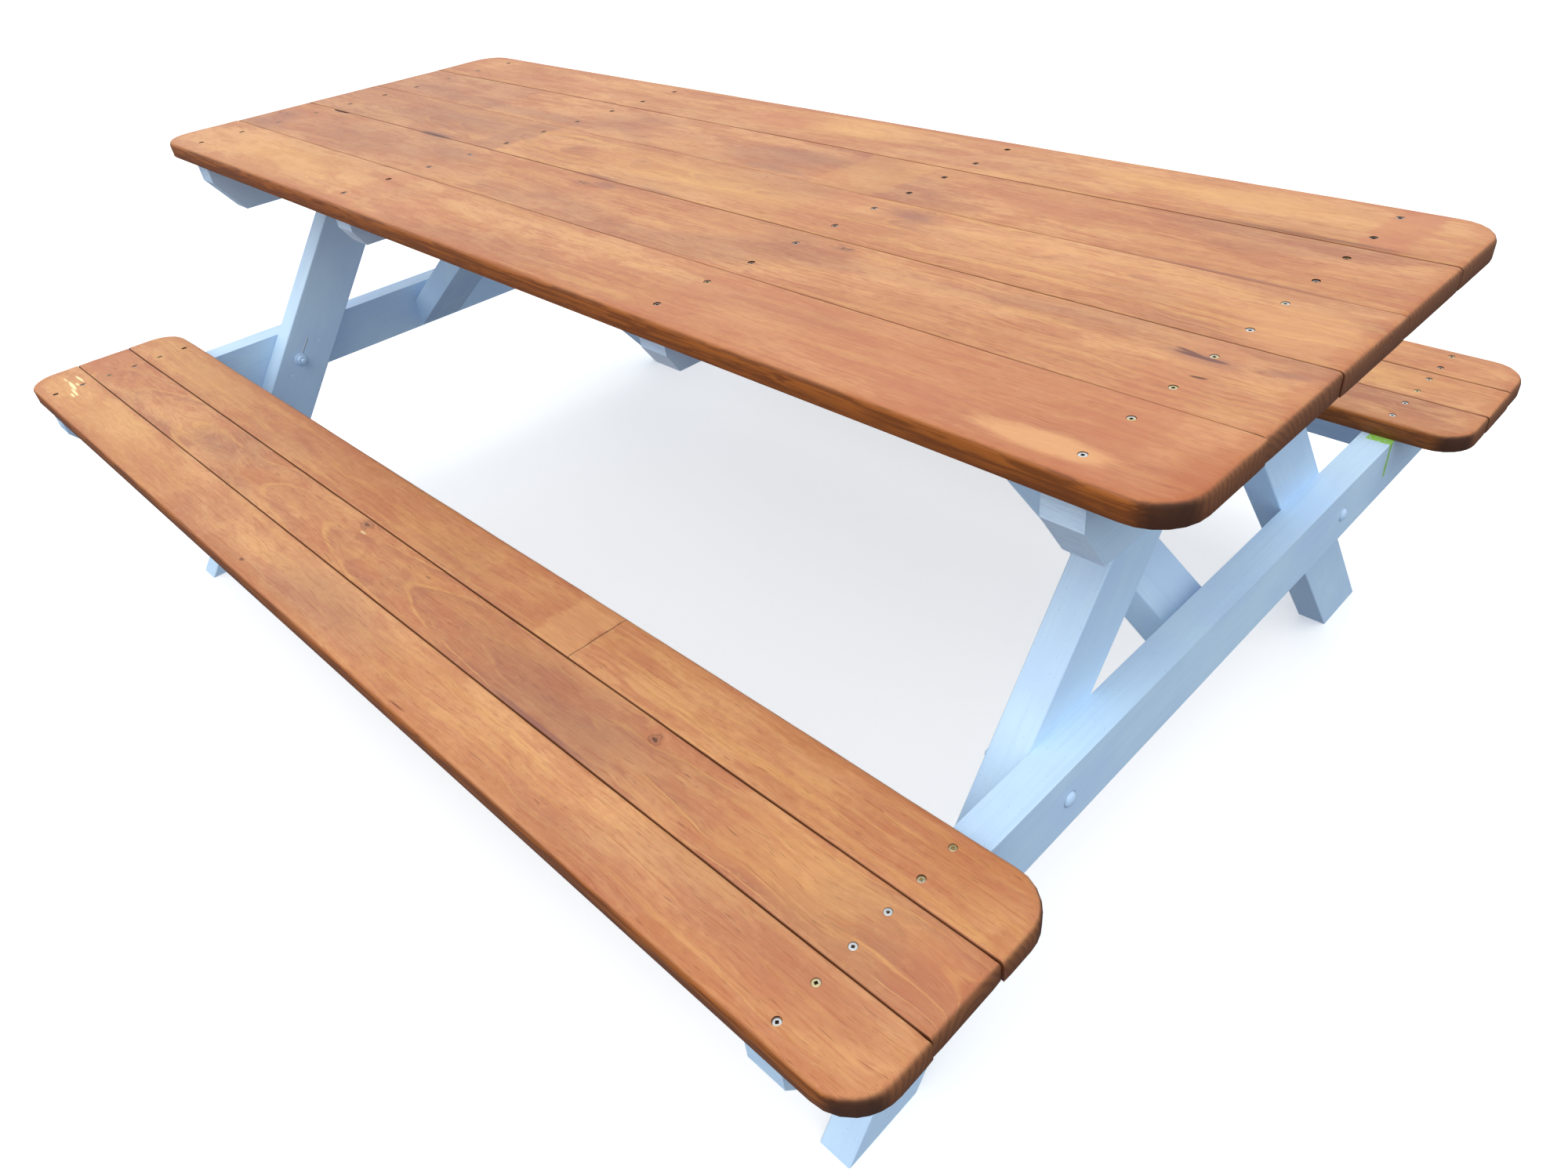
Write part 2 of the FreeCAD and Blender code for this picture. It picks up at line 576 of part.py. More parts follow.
def group(label, pattern, places):
    """One node of identical fasteners; each place is a turn and its position formulas."""
    links = []
    for number, placing in enumerate(places, 1):
        link = doc.addObject("App::Link", f"{label}_{number}")
        link.LinkedObject = pattern
        place(link, *placing)
        links.append(link)
    compound = doc.addObject("Part::Compound", label)
    compound.Label = label
    compound.Links = links
    groups.append(compound)


# ---------------------------------------------------------------- board screws
for label, row in zip(("left_end", "left_middle", "right_middle", "right_end"), TABLE_ROWS):
    group(f"table_screws_{label}", board_screw,
          [(NO_TURN, row, y, "dims.table_height - dims.screw_sink") for y in TABLE_SCREW_LINE])
for side_name, side in (("near", -1), ("far", 1)):
    line = [f"{seat_board_centre(side, step)} {sign} dims.seat_screw_pair"
            for step in SEAT_STEPS for sign in ("-", "+")]
    for end_name, row in zip(("left", "right"), END_ROWS):
        group(f"{side_name}_seat_screws_{end_name}", board_screw,
              [(NO_TURN, row, y, "dims.seat_height - dims.screw_sink") for y in line])

# ---------------------------------------------------------------- frame screws, bolts, washers, nuts
BOLT_SPOTS = {
    "beam": [(f"{side} * dims.beam_bolt_centre", BEAM_MIDDLE) for side in (-1, 1)],
    "cleat": [(f"{side} * {CLEAT_BOLT_RUN}", f"dims.table_height - {CLEAT_BOLT_DROP}")
              for side in (-1, 1)],
}
OUTER_FACE = "(dims.frame_plane + dims.timber_thickness)"
INNER_FACE = "(dims.frame_plane - dims.timber_thickness)"
WASHER_FACE = f"({INNER_FACE} - dims.washer_thickness)"
NUT_FACE = f"({WASHER_FACE} - dims.nut_height)"
for name, spots in BOLT_SPOTS.items():
    for kind, pattern, x in (("bolts", bolt, OUTER_FACE), ("washers", washer, WASHER_FACE),
                             ("nuts", nut, NUT_FACE)):
        group(f"{name}_{kind}", pattern,
              [(rotation, f"{sign}{x}", y, z)
               for sign, rotation in (("-", ABOUT_MINUS_Y), ("", ABOUT_Y)) for y, z in spots])

group("leg_screws", frame_screw,
      [(rotation, f"{sign}({INNER_FACE} + dims.screw_sink)", y, f"{BEAM_MIDDLE} + {z}")
       for sign, rotation in (("-", ABOUT_Y), ("", ABOUT_MINUS_Y)) for y, z in LEG_SCREWS])
group("rail_screws", frame_screw,
      [(rotation, f"{sign}({OUTER_FACE} - dims.screw_sink)", y, f"{SEAT_UNDERSIDE} + {z}")
       for sign, rotation in (("-", ABOUT_MINUS_Y), ("", ABOUT_Y)) for y, z in RAIL_SCREWS])
high_screw_x = f"(dims.middle_cleat_centre - {HALF_THICK} + dims.screw_sink)"
group("brace_high_screws", frame_screw,
      [(rotation, f"{sign}{high_screw_x}", y, f"{UNDERSIDE} - dims.brace_screw_drop")
       for sign, rotation in (("-", ABOUT_Y), ("", ABOUT_MINUS_Y)) for y in TOE_SIDES])
toe_x = f"({TOE_X} + dims.screw_sink * {BRACE_SLOPE} / {BRACE_LEAN})"
toe_z = f"({TOE_Z} + dims.screw_sink / {BRACE_LEAN})"
group("brace_toe_screws", board_screw,
      [(rotation, f"{sign}{toe_x}", y, toe_z, f"180 deg - atan({BRACE_SLOPE})")
       for sign, rotation in (("-", ABOUT_Y), ("", ABOUT_MINUS_Y)) for y in TOE_SIDES])

doc.recompute()

# ---------------------------------------------------------------- checks and export
for item in doc.Objects:
    if {"Invalid", "Error"} & set(item.State):
        raise RuntimeError(f"{item.Name} failed: {item.State}")
for item in timbers + groups:
    if item.Shape.isNull() or not item.Shape.isValid():
        raise RuntimeError(f"{item.Label} has no valid shape")

os.makedirs("parts", exist_ok=True)
for item in timbers + groups:
    item.Shape.exportStep(f"parts/{item.Label}.step")
print(f"{len(timbers)} timbers, {len(groups)} groups of fasteners")
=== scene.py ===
import math
import random
from collections import namedtuple

import bmesh
import bpy
import numpy as np
from mathutils import Matrix, Vector, noise


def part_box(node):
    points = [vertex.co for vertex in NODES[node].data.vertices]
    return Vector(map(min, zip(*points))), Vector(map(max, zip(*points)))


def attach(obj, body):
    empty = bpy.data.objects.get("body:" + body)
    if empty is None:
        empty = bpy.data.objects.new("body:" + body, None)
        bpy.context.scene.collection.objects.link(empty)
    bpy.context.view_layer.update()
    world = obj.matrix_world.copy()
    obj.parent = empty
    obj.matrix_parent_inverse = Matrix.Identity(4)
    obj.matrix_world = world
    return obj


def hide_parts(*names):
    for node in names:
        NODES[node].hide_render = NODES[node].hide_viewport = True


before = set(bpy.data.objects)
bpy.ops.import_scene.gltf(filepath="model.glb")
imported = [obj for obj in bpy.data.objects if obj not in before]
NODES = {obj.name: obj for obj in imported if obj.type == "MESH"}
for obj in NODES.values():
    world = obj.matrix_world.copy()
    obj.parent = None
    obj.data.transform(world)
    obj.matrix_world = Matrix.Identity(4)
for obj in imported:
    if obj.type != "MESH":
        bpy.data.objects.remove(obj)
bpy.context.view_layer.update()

MM = 0.001
TABLE_BOARDS = [f"table_board_{number}" for number in range(1, 6)]
SEAT_BOARDS = [f"{side}_seat_board_{number}" for side in ("near", "far") for number in (1, 2, 3)]
BOARD_SCREWS = [name for name in sorted(NODES) if "table_screws" in name or "seat_screws" in name]
PAINTED_SCREWS = ["leg_screws", "rail_screws", "brace_high_screws", "brace_toe_screws"]
TIMBERS = [name for name in sorted(NODES)
           if name.startswith(("leg_left", "leg_right", "seat_beam", "seat_rail", "end_cleat",
                               "middle_cleat", "brace_left", "brace_right"))]
HEAD_RADIUS = 4.2 * MM
SHANK_RADIUS = 2.4 * MM
RECESS_HALF = 1.5 * MM
BOLT_HEAD = 9 * MM
BOLT_DOME = 5 * MM
TIMBER_ROUND = 0.9 * MM
# how deep the recess of a screw is, and how far its rim is rounded
BRIGHT_SCREW = (2.2 * MM, 0.25 * MM)
PAINTED_SCREW = (0.8 * MM, 0.5 * MM)
ROUND_COUNT = 24
SPOKES = [2 * math.pi * step / ROUND_COUNT for step in range(ROUND_COUNT)]
NUT_COUNT = 36
RECESS_POINTS = 4 * ROUND_COUNT
X_AXIS = Vector((1, 0, 0))
Y_AXIS = Vector((0, 1, 0))


# ---- camera, floor and light
def add_object(name, data):
    """A new object in the scene."""
    thing = bpy.data.objects.new(name, data)
    bpy.context.scene.collection.objects.link(thing)
    return thing


def make_camera():
    """Camera where the photographer stood, right of the table's near side, looking down."""
    azimuth, elevation, roll = (math.radians(a) for a in (46.51, 37.34, -5.32))
    forward = Vector((-math.sin(azimuth) * math.cos(elevation),
                      math.cos(azimuth) * math.cos(elevation), -math.sin(elevation)))
    level = forward.cross(Vector((0, 0, 1))).normalized()
    upright = level.cross(forward)
    right = math.cos(roll) * level + math.sin(roll) * upright
    up = math.cos(roll) * upright - math.sin(roll) * level
    camera = add_object("camera", bpy.data.cameras.new("camera"))
    camera.data.lens = 24.93
    camera.data.sensor_width = 36.0
    camera.data.shift_x = -0.0320
    camera.data.shift_y = -0.0004
    camera.data.clip_start = 0.05
    turn = Matrix((right, up, -forward)).transposed().to_4x4()
    camera.matrix_world = Matrix.Translation((1.3205, -0.9965, 1.2139)) @ turn
    bpy.context.scene.camera = camera


def make_studio():
    """A pale floor, a pale surround and one broad soft light from above the near side."""
    size = 30.0
    corners = [(-size, -size, 0), (size, -size, 0), (size, size, 0), (-size, size, 0)]
    mesh = new_mesh("floor", corners, [(0, 1, 2, 3)])
    floor = add_object("floor", mesh)
    graph = Graph("floor_paper")
    tone = graph.noise_in(graph.coordinate("Object"), (3.0, 3.0, 3.0), 2.0)
    tone = graph.mix(tone, (0.90, 0.90, 0.90, 1), (0.93, 0.93, 0.93, 1))
    graph.feed(graph.shader, {"Base Color": tone, "Roughness": 0.9,
                              "Emission Color": (1, 1, 1, 1), "Emission Strength": 0.28})
    mesh.materials.append(graph.material)
    floor.visible_diffuse = False
    floor.visible_glossy = False
    world = bpy.data.worlds.new("studio")
    bpy.context.scene.world = world
    world.use_nodes = True
    nodes, links = world.node_tree.nodes, world.node_tree.links
    surround = nodes["Background"]
    split = nodes.new("ShaderNodeSeparateXYZ")
    links.new(nodes.new("ShaderNodeTexCoord").outputs["Generated"], split.inputs[0])
    height = nodes.new("ShaderNodeValToRGB")
    low_stop, high_stop = height.color_ramp.elements
    low_stop.position, low_stop.color = 0.46, (0.15, 0.17, 0.21, 1)
    high_stop.position, high_stop.color = 0.56, (0.90, 0.95, 1.0, 1)
    shifted = nodes.new("ShaderNodeMapRange")
    shifted.inputs["From Min"].default_value = -1.0
    links.new(split.outputs["Z"], shifted.inputs["Value"])
    links.new(shifted.outputs[0], height.inputs["Fac"])
    links.new(height.outputs["Color"], surround.inputs["Color"])
    surround.inputs["Strength"].default_value = 1.16
    lamp = bpy.data.lights.new("overhead", "SUN")
    lamp.energy = 1.0
    lamp.angle = math.radians(60)
    lamp.color = (1.0, 0.96, 0.90)
    holder = add_object("overhead", lamp)
    holder.rotation_mode = "QUATERNION"
    holder.rotation_quaternion = Vector((-0.10, 0.45, -1.0)).to_track_quat("-Z", "Y")
    bpy.context.scene.view_settings.view_transform = "Standard"


# ---- node trees
class Wire:
    """A node's output, which adds and multiplies like a number."""

    def __init__(self, graph, socket):
        self.graph, self.socket = graph, socket

    __add__ = __radd__ = lambda self, other: self.graph.math("ADD", self, other)
    __mul__ = __rmul__ = lambda self, other: self.graph.math("MULTIPLY", self, other)
    __sub__ = lambda self, other: self.graph.math("SUBTRACT", self, other)
    __rsub__ = lambda self, other: self.graph.math("SUBTRACT", other, self)
    __truediv__ = lambda self, other: self.graph.math("DIVIDE", self, other)
    __abs__ = lambda self: self.graph.math("ABSOLUTE", self)


class Graph:
    """One material's node tree, with a short call for each kind of node."""

    def __init__(self, name):
        self.material = bpy.data.materials.new(name)
        self.material.use_nodes = True
        self.nodes = self.material.node_tree.nodes
        self.links = self.material.node_tree.links
        self.nodes.clear()
        self.shader = self.nodes.new("ShaderNodeBsdfPrincipled")
        output = self.nodes.new("ShaderNodeOutputMaterial")
        self.links.new(self.shader.outputs["BSDF"], output.inputs["Surface"])

    def feed(self, node, values):
        """Links or sets a node's inputs, each under its name or its number."""
        for key, value in values.items():
            if isinstance(value, Wire):
                self.links.new(value.socket, node.inputs[key])
            else:
                node.inputs[key].default_value = value

    def node(self, kind, values=(), **settings):
        """A node with its settings and its first inputs filled in."""
        node = self.nodes.new("ShaderNode" + kind)
        for key, value in settings.items():
            setattr(node, key, value)
        self.feed(node, dict(enumerate(values)))
        return node

    def math(self, operation, *values):
        return Wire(self, self.node("Math", values, operation=operation).outputs[0])

    def vector(self, operation, *values):
        node = self.node("VectorMath", values, operation=operation)
        return Wire(self, node.outputs["Value" if operation in ("LENGTH", "DOT_PRODUCT") else "Vector"])

    def length(self, x, y, z=0.0):
        return self.vector("LENGTH", self.join(x, y, z))

    def join(self, x, y, z):
        return Wire(self, self.node("CombineXYZ", (x, y, z)).outputs[0])

    def split(self, value):
        return [Wire(self, socket) for socket in self.node("SeparateXYZ", (value,)).outputs]

    def coordinate(self, kind):
        return Wire(self, self.node("TexCoord").outputs[kind])

    def attribute(self, name):
        return Wire(self, self.node("Attribute", attribute_name=name).outputs["Fac"])

    def noise(self, vector, detail, roughness=0.5):
        """Noise from 0 to 1 with a cell of one unit of the vector."""
        node = self.node("TexNoise")
        self.feed(node, {"Vector": vector, "Scale": 1.0, "Detail": detail, "Roughness": roughness})
        return Wire(self, node.outputs["Fac"])

    def noise_in(self, place, cells, detail):
        """Noise with so many cells per metre along each axis."""
        return self.noise(self.vector("MULTIPLY", place, cells), detail)

    def span(self, value, low, high, to_low=0.0, to_high=1.0):
        """Eases from one level to another as the value goes from low to high."""
        node = self.node("MapRange", (value, low, high, to_low, to_high),
                         interpolation_type="SMOOTHSTEP")
        return Wire(self, node.outputs[0])

    def inside(self, value, low, high, soft):
        """1 while a value is between two levels."""
        return self.span(value, low - soft, low + soft) * self.span(
            value, high - soft, high + soft, 1.0, 0.0)

    def mix(self, factor, first, second, blend="MIX"):
        node = self.node("Mix", data_type="RGBA", blend_type=blend)
        self.feed(node, {0: factor, 6: first, 7: second})
        return Wire(self, node.outputs[2])

    def layered(self, tone, layers):
        """Lays each tint over the tone where its noise goes from one level to another."""
        for field, start, end, strength, tint in layers:
            tone = self.mix(self.span(field, start, end, 0.0, strength), tone, tint)
        return tone

    def finish(self, tone, roughness, height, distance, strength):
        """The material, with its colour, its gloss and its relief fed to the shader."""
        bump = self.node("Bump")
        self.feed(bump, {"Strength": strength, "Distance": distance, "Height": height})
        self.feed(self.shader, {"Base Color": tone, "Roughness": roughness})
        self.links.new(bump.outputs["Normal"], self.shader.inputs["Normal"])
        return self.material


def colour(red, green, blue):
    """A linear colour from screen values of 0 to 255."""
    screen = (channel / 255 for channel in (red, green, blue))
    linear = [c / 12.92 if c <= 0.04045 else ((c + 0.055) / 1.055) ** 2.4 for c in screen]
    return (*linear, 1.0)


# ---- stained wood
PALE = colour(218, 160, 108)
STAIN_BASE = colour(196, 133, 87)
PINK = colour(184, 112, 78)
PURPLE = colour(142, 92, 78)
YELLOW = colour(218, 163, 98)
RUST = colour(170, 92, 52)
# edge stain, also laid as painted shade on faces that point down
STAIN_EDGE_AND_UNDER_SHADE = colour(118, 61, 14)
STAIN_EDGE_LIGHT = colour(162, 91, 29)
# end-grain stain, also laid as painted shade in a small crack
STAIN_END_AND_CRACK_SHADE = colour(84, 48, 28)
STAIN_END_LIGHT = colour(128, 80, 46)
# joint stain, also laid as painted shade low on edges and ends
STAIN_JOINT_AND_LOW_SHADE = colour(98, 52, 22)
STAIN_CORNER = colour(60, 32, 16)
# black of knot eyes and joint spots, also laid as painted shade in cracks and a void
STAIN_BLACK_AND_CRACK_SHADE = colour(44, 26, 30)
CREAM = colour(246, 228, 170)
TOP_COAT = (0.92, 0.91, 0.91)
CORNER_RADIUS = 50 * MM
JOINT_RADIUS = 1.6 * MM
LEAST_RADIUS = 0.3 * MM
PLANED_FACE = 100 * MM * MM


# a soft stain mark: place and half sizes as shares of the board's half length and width, its turn
# in degrees
Patch = namedtuple("Patch", "along across half_length half_width tint strength soft ragged turn",
                   defaults=(0.6, 0.6, 0.5, 0.0))
# a coat of stain laid twice across the board, from one share of its half length to another
Lap = namedtuple("Lap", "start end tint strength slant", defaults=(0.35, 0.0))
# a knot that pushes the grain aside: place as shares of the board, radius in millimetres
Knot = namedtuple("Knot", "along across radius dark stretch rings", defaults=(0.6, 2.2, 0.0))


class Look:
    """What one board looks like: its tone, its place in the log, and its marks."""
    yellow, pink, purple, light, rings, lines = 0.35, 0.4, 0.2, 0.5, 0.10, 0.0
    pith, tilt, spacing, streaks, ripple, rim = (0.24, -0.05), (0.0, 0.0), 0.007, 1.0, 0.022, 0.35
    knots, patches, laps, nicks, seam = (), (), (), (), None
    trims, lower, coat = (0.0, 0.0), 0.0, (1.0, 1.0, 1.0)

    def __init__(self, seed, **own):
        self.seed = seed
        vars(self).update(own)


def patch_mask(graph, patch, half, x, y, ragged):
    """1 inside the patch, easing to 0 over its soft rim, with a ragged outline."""
    turn = math.radians(patch.turn)
    cosine, sine = math.cos(turn), math.sin(turn)
    length, width = patch.half_length * half.x, patch.half_width * half.y
    dx = x - patch.along * half.x
    dy = y - patch.across * half.y
    u = dx * (cosine / length) + dy * (sine / length)
    v = dx * (-sine / width) + dy * (cosine / width)
    reach = graph.length(u, v) + ragged * patch.ragged
    return graph.span(reach, 1.0 - patch.soft, 1.0 + 0.3 * patch.soft, patch.strength, 0.0)


def push_grain(graph, knot, half, x, y):
    """The grain's own crosswise place, which streams round the knot, and the distance from the
    knot's middle in knot radii."""
    dx = x - knot.along * half.x
    dy = y - knot.across * half.y
    radius = knot.radius * MM
    far_x = dx / (knot.stretch * radius)
    far_y = dy / radius
    share = graph.math("DIVIDE", 1.0, far_x * far_x + far_y * far_y + 0.6)
    near_x = dx / ((2.0 - 0.75 * knot.rings) * radius)
    return y - dy * share, graph.length(near_x, far_y)


def knot_tone(graph, knot, centre, torn, tone):
    """A smudge round the knot and a torn dark eye, with rings where the knot was cut across."""
    worn = centre + torn * (2.6 - 0.8 * knot.rings)
    tone = graph.mix(graph.span(worn, 0.8, 3.2, 0.55 * knot.dark, 0.0), tone, PINK)
    turns = graph.math("SINE", worn * 9.0)
    eye = graph.mix(graph.span(turns, -0.6, 0.9), PURPLE, STAIN_END_LIGHT)
    tone = graph.mix(graph.span(worn, 0.60, 1.20, 0.60 * knot.dark, 0.0), tone, eye)
    rim = graph.span(worn, 0.70, 0.90) * graph.span(
        worn, 0.92, 1.15, 0.6 * knot.rings * knot.dark, 0.0)
    tone = graph.mix(rim, tone, STAIN_END_AND_CRACK_SHADE)
    return graph.mix(graph.span(worn, 0.0, 0.40, knot.dark, 0.0), tone, STAIN_BLACK_AND_CRACK_SHADE)


def stained_wood(name, low, high, look, joints):
    """Satin stain on pine: rippled grain, growth rings of a log, blotches and dark edges.
    joints are 1 for the crosswise sides (low, high) that meet another board."""
    graph = Graph(name)
    middle = (low + high) / 2
    half = (high - low) / 2
    x, y, z = graph.split(graph.vector("SUBTRACT", graph.coordinate("Object"), middle))
    normal_x, normal_y, normal_z = graph.split(graph.coordinate("Normal"))
    shift = 13.7 * look.seed
    other = 0.0
    if look.seam is not None:
        other = graph.math("GREATER_THAN", x, look.seam * half.x) * 0.37

    def noise_at(across, per_x, per_y, detail, extra, roughness=0.5):
        """Noise with so many cells per metre along and across."""
        spot = graph.join(x * per_x + (shift + extra), across * per_y, z * per_y + extra)
        return graph.noise(spot, detail, roughness)

    plain_y = y + other
    grain_y = y + (noise_at(plain_y, 8.0, 22.0, 2.0, 11.0) - 0.5) * look.ripple
    centres = []
    for knot in look.knots:
        grain_y, centre = push_grain(graph, knot, half, x, grain_y)
        centres.append(centre)
    grain_y = grain_y + other
    wander = noise_at(grain_y, 1.6, 5.0, 1.0, 3.0)
    blotch = noise_at(grain_y, 2.4, 10.0, 3.0, 5.0)
    clouds = noise_at(grain_y, 9.0, 32.0, 4.0, 9.0, 0.65)
    wash = noise_at(plain_y, 2.6, 9.0, 3.0, 15.0)
    bands = noise_at(grain_y, 3.0, 70.0, 3.0, 1.0, 0.6)
    streaks = noise_at(grain_y, 6.0, 240.0, 3.0, 7.0, 0.6)
    fibres = noise_at(grain_y, 30.0, 900.0, 2.0, 2.0)
    pores = noise_at(grain_y, 60.0, 1500.0, 1.0, 4.0)
    flecks = noise_at(grain_y, 42.0, 760.0, 0.0, 8.0)
    mottle = noise_at(plain_y, 60.0, 90.0, 3.0, 6.0, 0.7)
    figure = noise_at(grain_y, 14.0, 420.0, 3.0, 13.0, 0.7)
    ragged = noise_at(grain_y, 18.0, 60.0, 3.0, 6.0, 0.65) + clouds * 1.5 - 1.25
    torn = noise_at(plain_y, 110.0, 220.0, 2.0, 12.0) - 0.5

    # growth rings: distance from the pith, which leans a little along the board
    ring_y = grain_y + x * -look.tilt[0] - look.pith[0] + wander * 0.030
    ring_z = z + x * -look.tilt[1] - look.pith[1] + wander * 0.020
    rings = graph.math("FRACT", graph.length(0.0, ring_y, ring_z) / look.spacing)
    late = graph.span(rings, 0.25, 0.85) * graph.span(rings, 0.86, 1.0, 1.0, 0.0)
    thin = graph.span(rings, 0.84, 0.92) * graph.span(rings, 0.94, 1.0, 1.0, 0.0)
    faint = graph.span(clouds, 0.40, 0.58)

    tone = graph.layered(STAIN_BASE, (
        (blotch, 0.40, 0.58, look.light + 0.42, PALE),
        (clouds, 0.46, 0.58, 1.15 * look.pink, PINK),
        (bands, 0.48, 0.62, look.yellow, YELLOW),
        (wash, 0.50, 0.36, 1.3 * look.purple, PURPLE)))
    tone = graph.mix(late * faint * look.rings, tone, PURPLE)
    tone = graph.mix(thin * faint * look.lines, tone, YELLOW)
    tone = graph.layered(tone, (
        (streaks, 0.50, 0.70, 0.34 * look.streaks, PINK),
        (streaks, 0.46, 0.28, 0.30 * look.streaks, PALE),
        (mottle, 0.50, 0.66, 0.22, PINK),
        (mottle, 0.48, 0.34, 0.20, PALE),
        (figure, 0.54, 0.68, 0.38, RUST),
        (figure, 0.44, 0.30, 0.22, PALE),
        (fibres, 0.54, 0.80, 0.34, STAIN_EDGE_LIGHT),
        (fibres, 0.44, 0.20, 0.20, PALE),
        (pores, 0.64, 0.74, 0.32, STAIN_END_AND_CRACK_SHADE),
        (flecks, 0.77, 0.83, 0.45, STAIN_END_AND_CRACK_SHADE)))

    tone = graph.mix(1.0, tone, (*look.coat, 1.0), "MULTIPLY")
    for lap in look.laps:
        run = x + y * -lap.slant + ragged * 0.030
        covered = graph.inside(run, lap.start * half.x, lap.end * half.x, 6 * MM)
        tone = graph.mix(covered * lap.strength, tone, lap.tint)
    for patch in look.patches:
        tone = graph.mix(patch_mask(graph, patch, half, x, y, ragged), tone, patch.tint)
    for knot, centre in zip(look.knots, centres):
        tone = knot_tone(graph, knot, centre, torn, tone)
    if look.seam is not None:
        gap = abs(x - look.seam * half.x + ragged * 0.0022)
        tone = graph.mix(graph.span(gap, 0.0003, 0.0013, 0.8, 0.0), tone, STAIN_END_AND_CRACK_SHADE)

    # a darker rim of stain inside the rounded outline
    past_end = graph.math("MAXIMUM", abs(x) - (half.x - CORNER_RADIUS), 0.0)
    outer = y * (joints[0] - joints[1])
    outer = graph.math("MAXIMUM", outer - (half.y - CORNER_RADIUS), 0.0)
    inset = CORNER_RADIUS - graph.length(past_end, outer) + ragged * 0.05
    tone = graph.mix(graph.span(inset, 0.006, 0.022, look.rim, 0.0), tone, RUST)

    # stain lies thicker on the rounded edges, and soaks into the end grain and the joints; the lower
    # part of the edges and ends is darker, partly stain and partly painted shade
    side_way, end_way = abs(normal_y), abs(normal_x)
    joint = graph.math("GREATER_THAN", y, 0.0) * (joints[1] - joints[0]) + joints[0]
    # partly stain and partly painted shade: darker towards the bottom of edges and ends
    low_stain_and_shade = graph.span(z + ragged * 0.02, -half.z, 0.35 * half.z, 0.60, 0.0)
    edge_tone = graph.mix(graph.span(streaks, 0.40, 0.60), STAIN_EDGE_AND_UNDER_SHADE, STAIN_EDGE_LIGHT)
    edge_tone = graph.mix(low_stain_and_shade, edge_tone, STAIN_JOINT_AND_LOW_SHADE)
    tone = graph.mix(graph.span(side_way, 0.45, 0.95, 0.0, 0.94) * (1.0 - joint), tone, edge_tone)
    tone = graph.mix(graph.span(side_way, 0.35, 0.95) * joint, tone, STAIN_JOINT_AND_LOW_SHADE)
    end_grain = graph.mix(graph.span(late, 0.0, 1.0, 0.1, 0.6), STAIN_END_LIGHT, STAIN_END_AND_CRACK_SHADE)
    end_grain = graph.layered(end_grain, ((fibres, 0.35, 0.7, 0.4, STAIN_END_AND_CRACK_SHADE),))
    end_grain = graph.mix(low_stain_and_shade, end_grain, STAIN_JOINT_AND_LOW_SHADE)
    tone = graph.layered(tone, ((end_way, 0.45, 0.90, 0.94, end_grain),
                                (side_way * end_way, 0.10, 0.42, 0.90, STAIN_CORNER)))
    # painted shade: faces that point down are darkened
    tone = graph.mix(graph.span(normal_z, -0.3, -0.8) * 0.35, tone, STAIN_EDGE_AND_UNDER_SHADE)

    graph.feed(graph.shader, {"Specular IOR Level": 0.35})
    satin = clouds * 0.20 + 0.38 + fibres * 0.10 + end_way * 0.18
    height = (fibres * 0.35 + streaks * 0.8 + figure * 0.7 + mottle * 0.8 + late * 0.25
              + graph.span(pores, 0.66, 0.76) * -0.5)
    return graph.finish(tone, satin, height, 0.30 * MM, 0.7)


# ---- painted wood and metal
PAINT_LIT = colour(206, 234, 255)
PAINT_BASE = colour(196, 224, 253)
PAINT_DULL = colour(176, 204, 238)
# dark paint specks, also laid as painted shade in a crack and round bolt heads
PAINT_DARK_SPECK_AND_SHADE = colour(120, 138, 164)
# painted highlight on the lip of a crack
PAINT_LIP_HIGHLIGHT = colour(240, 249, 255)
# painted shade of a nail hole
NAIL_HOLE_SHADE = colour(70, 78, 92)
GREEN_PAINT = colour(150, 214, 62)
ZINC_SILVER = colour(216, 217, 216)
ZINC_YELLOW = colour(212, 196, 146)
ZINC_SCUFF = colour(150, 150, 146)
# painted shade in screw recesses
RECESS_SHADE_COLOUR = colour(64, 52, 42)


def lengthwise(node):
    """Unit vectors along, across and through a timber, from its longest straight edge."""
    mesh = welded(node)
    bmesh.ops.dissolve_limit(mesh, angle_limit=math.radians(1), verts=mesh.verts, edges=mesh.edges)
    longest = max(mesh.edges, key=lambda edge: edge.calc_length())
    along = (longest.verts[1].co - longest.verts[0].co).normalized()
    mesh.free()
    through = Y_AXIS if abs(along.x) > 0.5 else X_AXIS
    return along, through.cross(along).normalized(), through


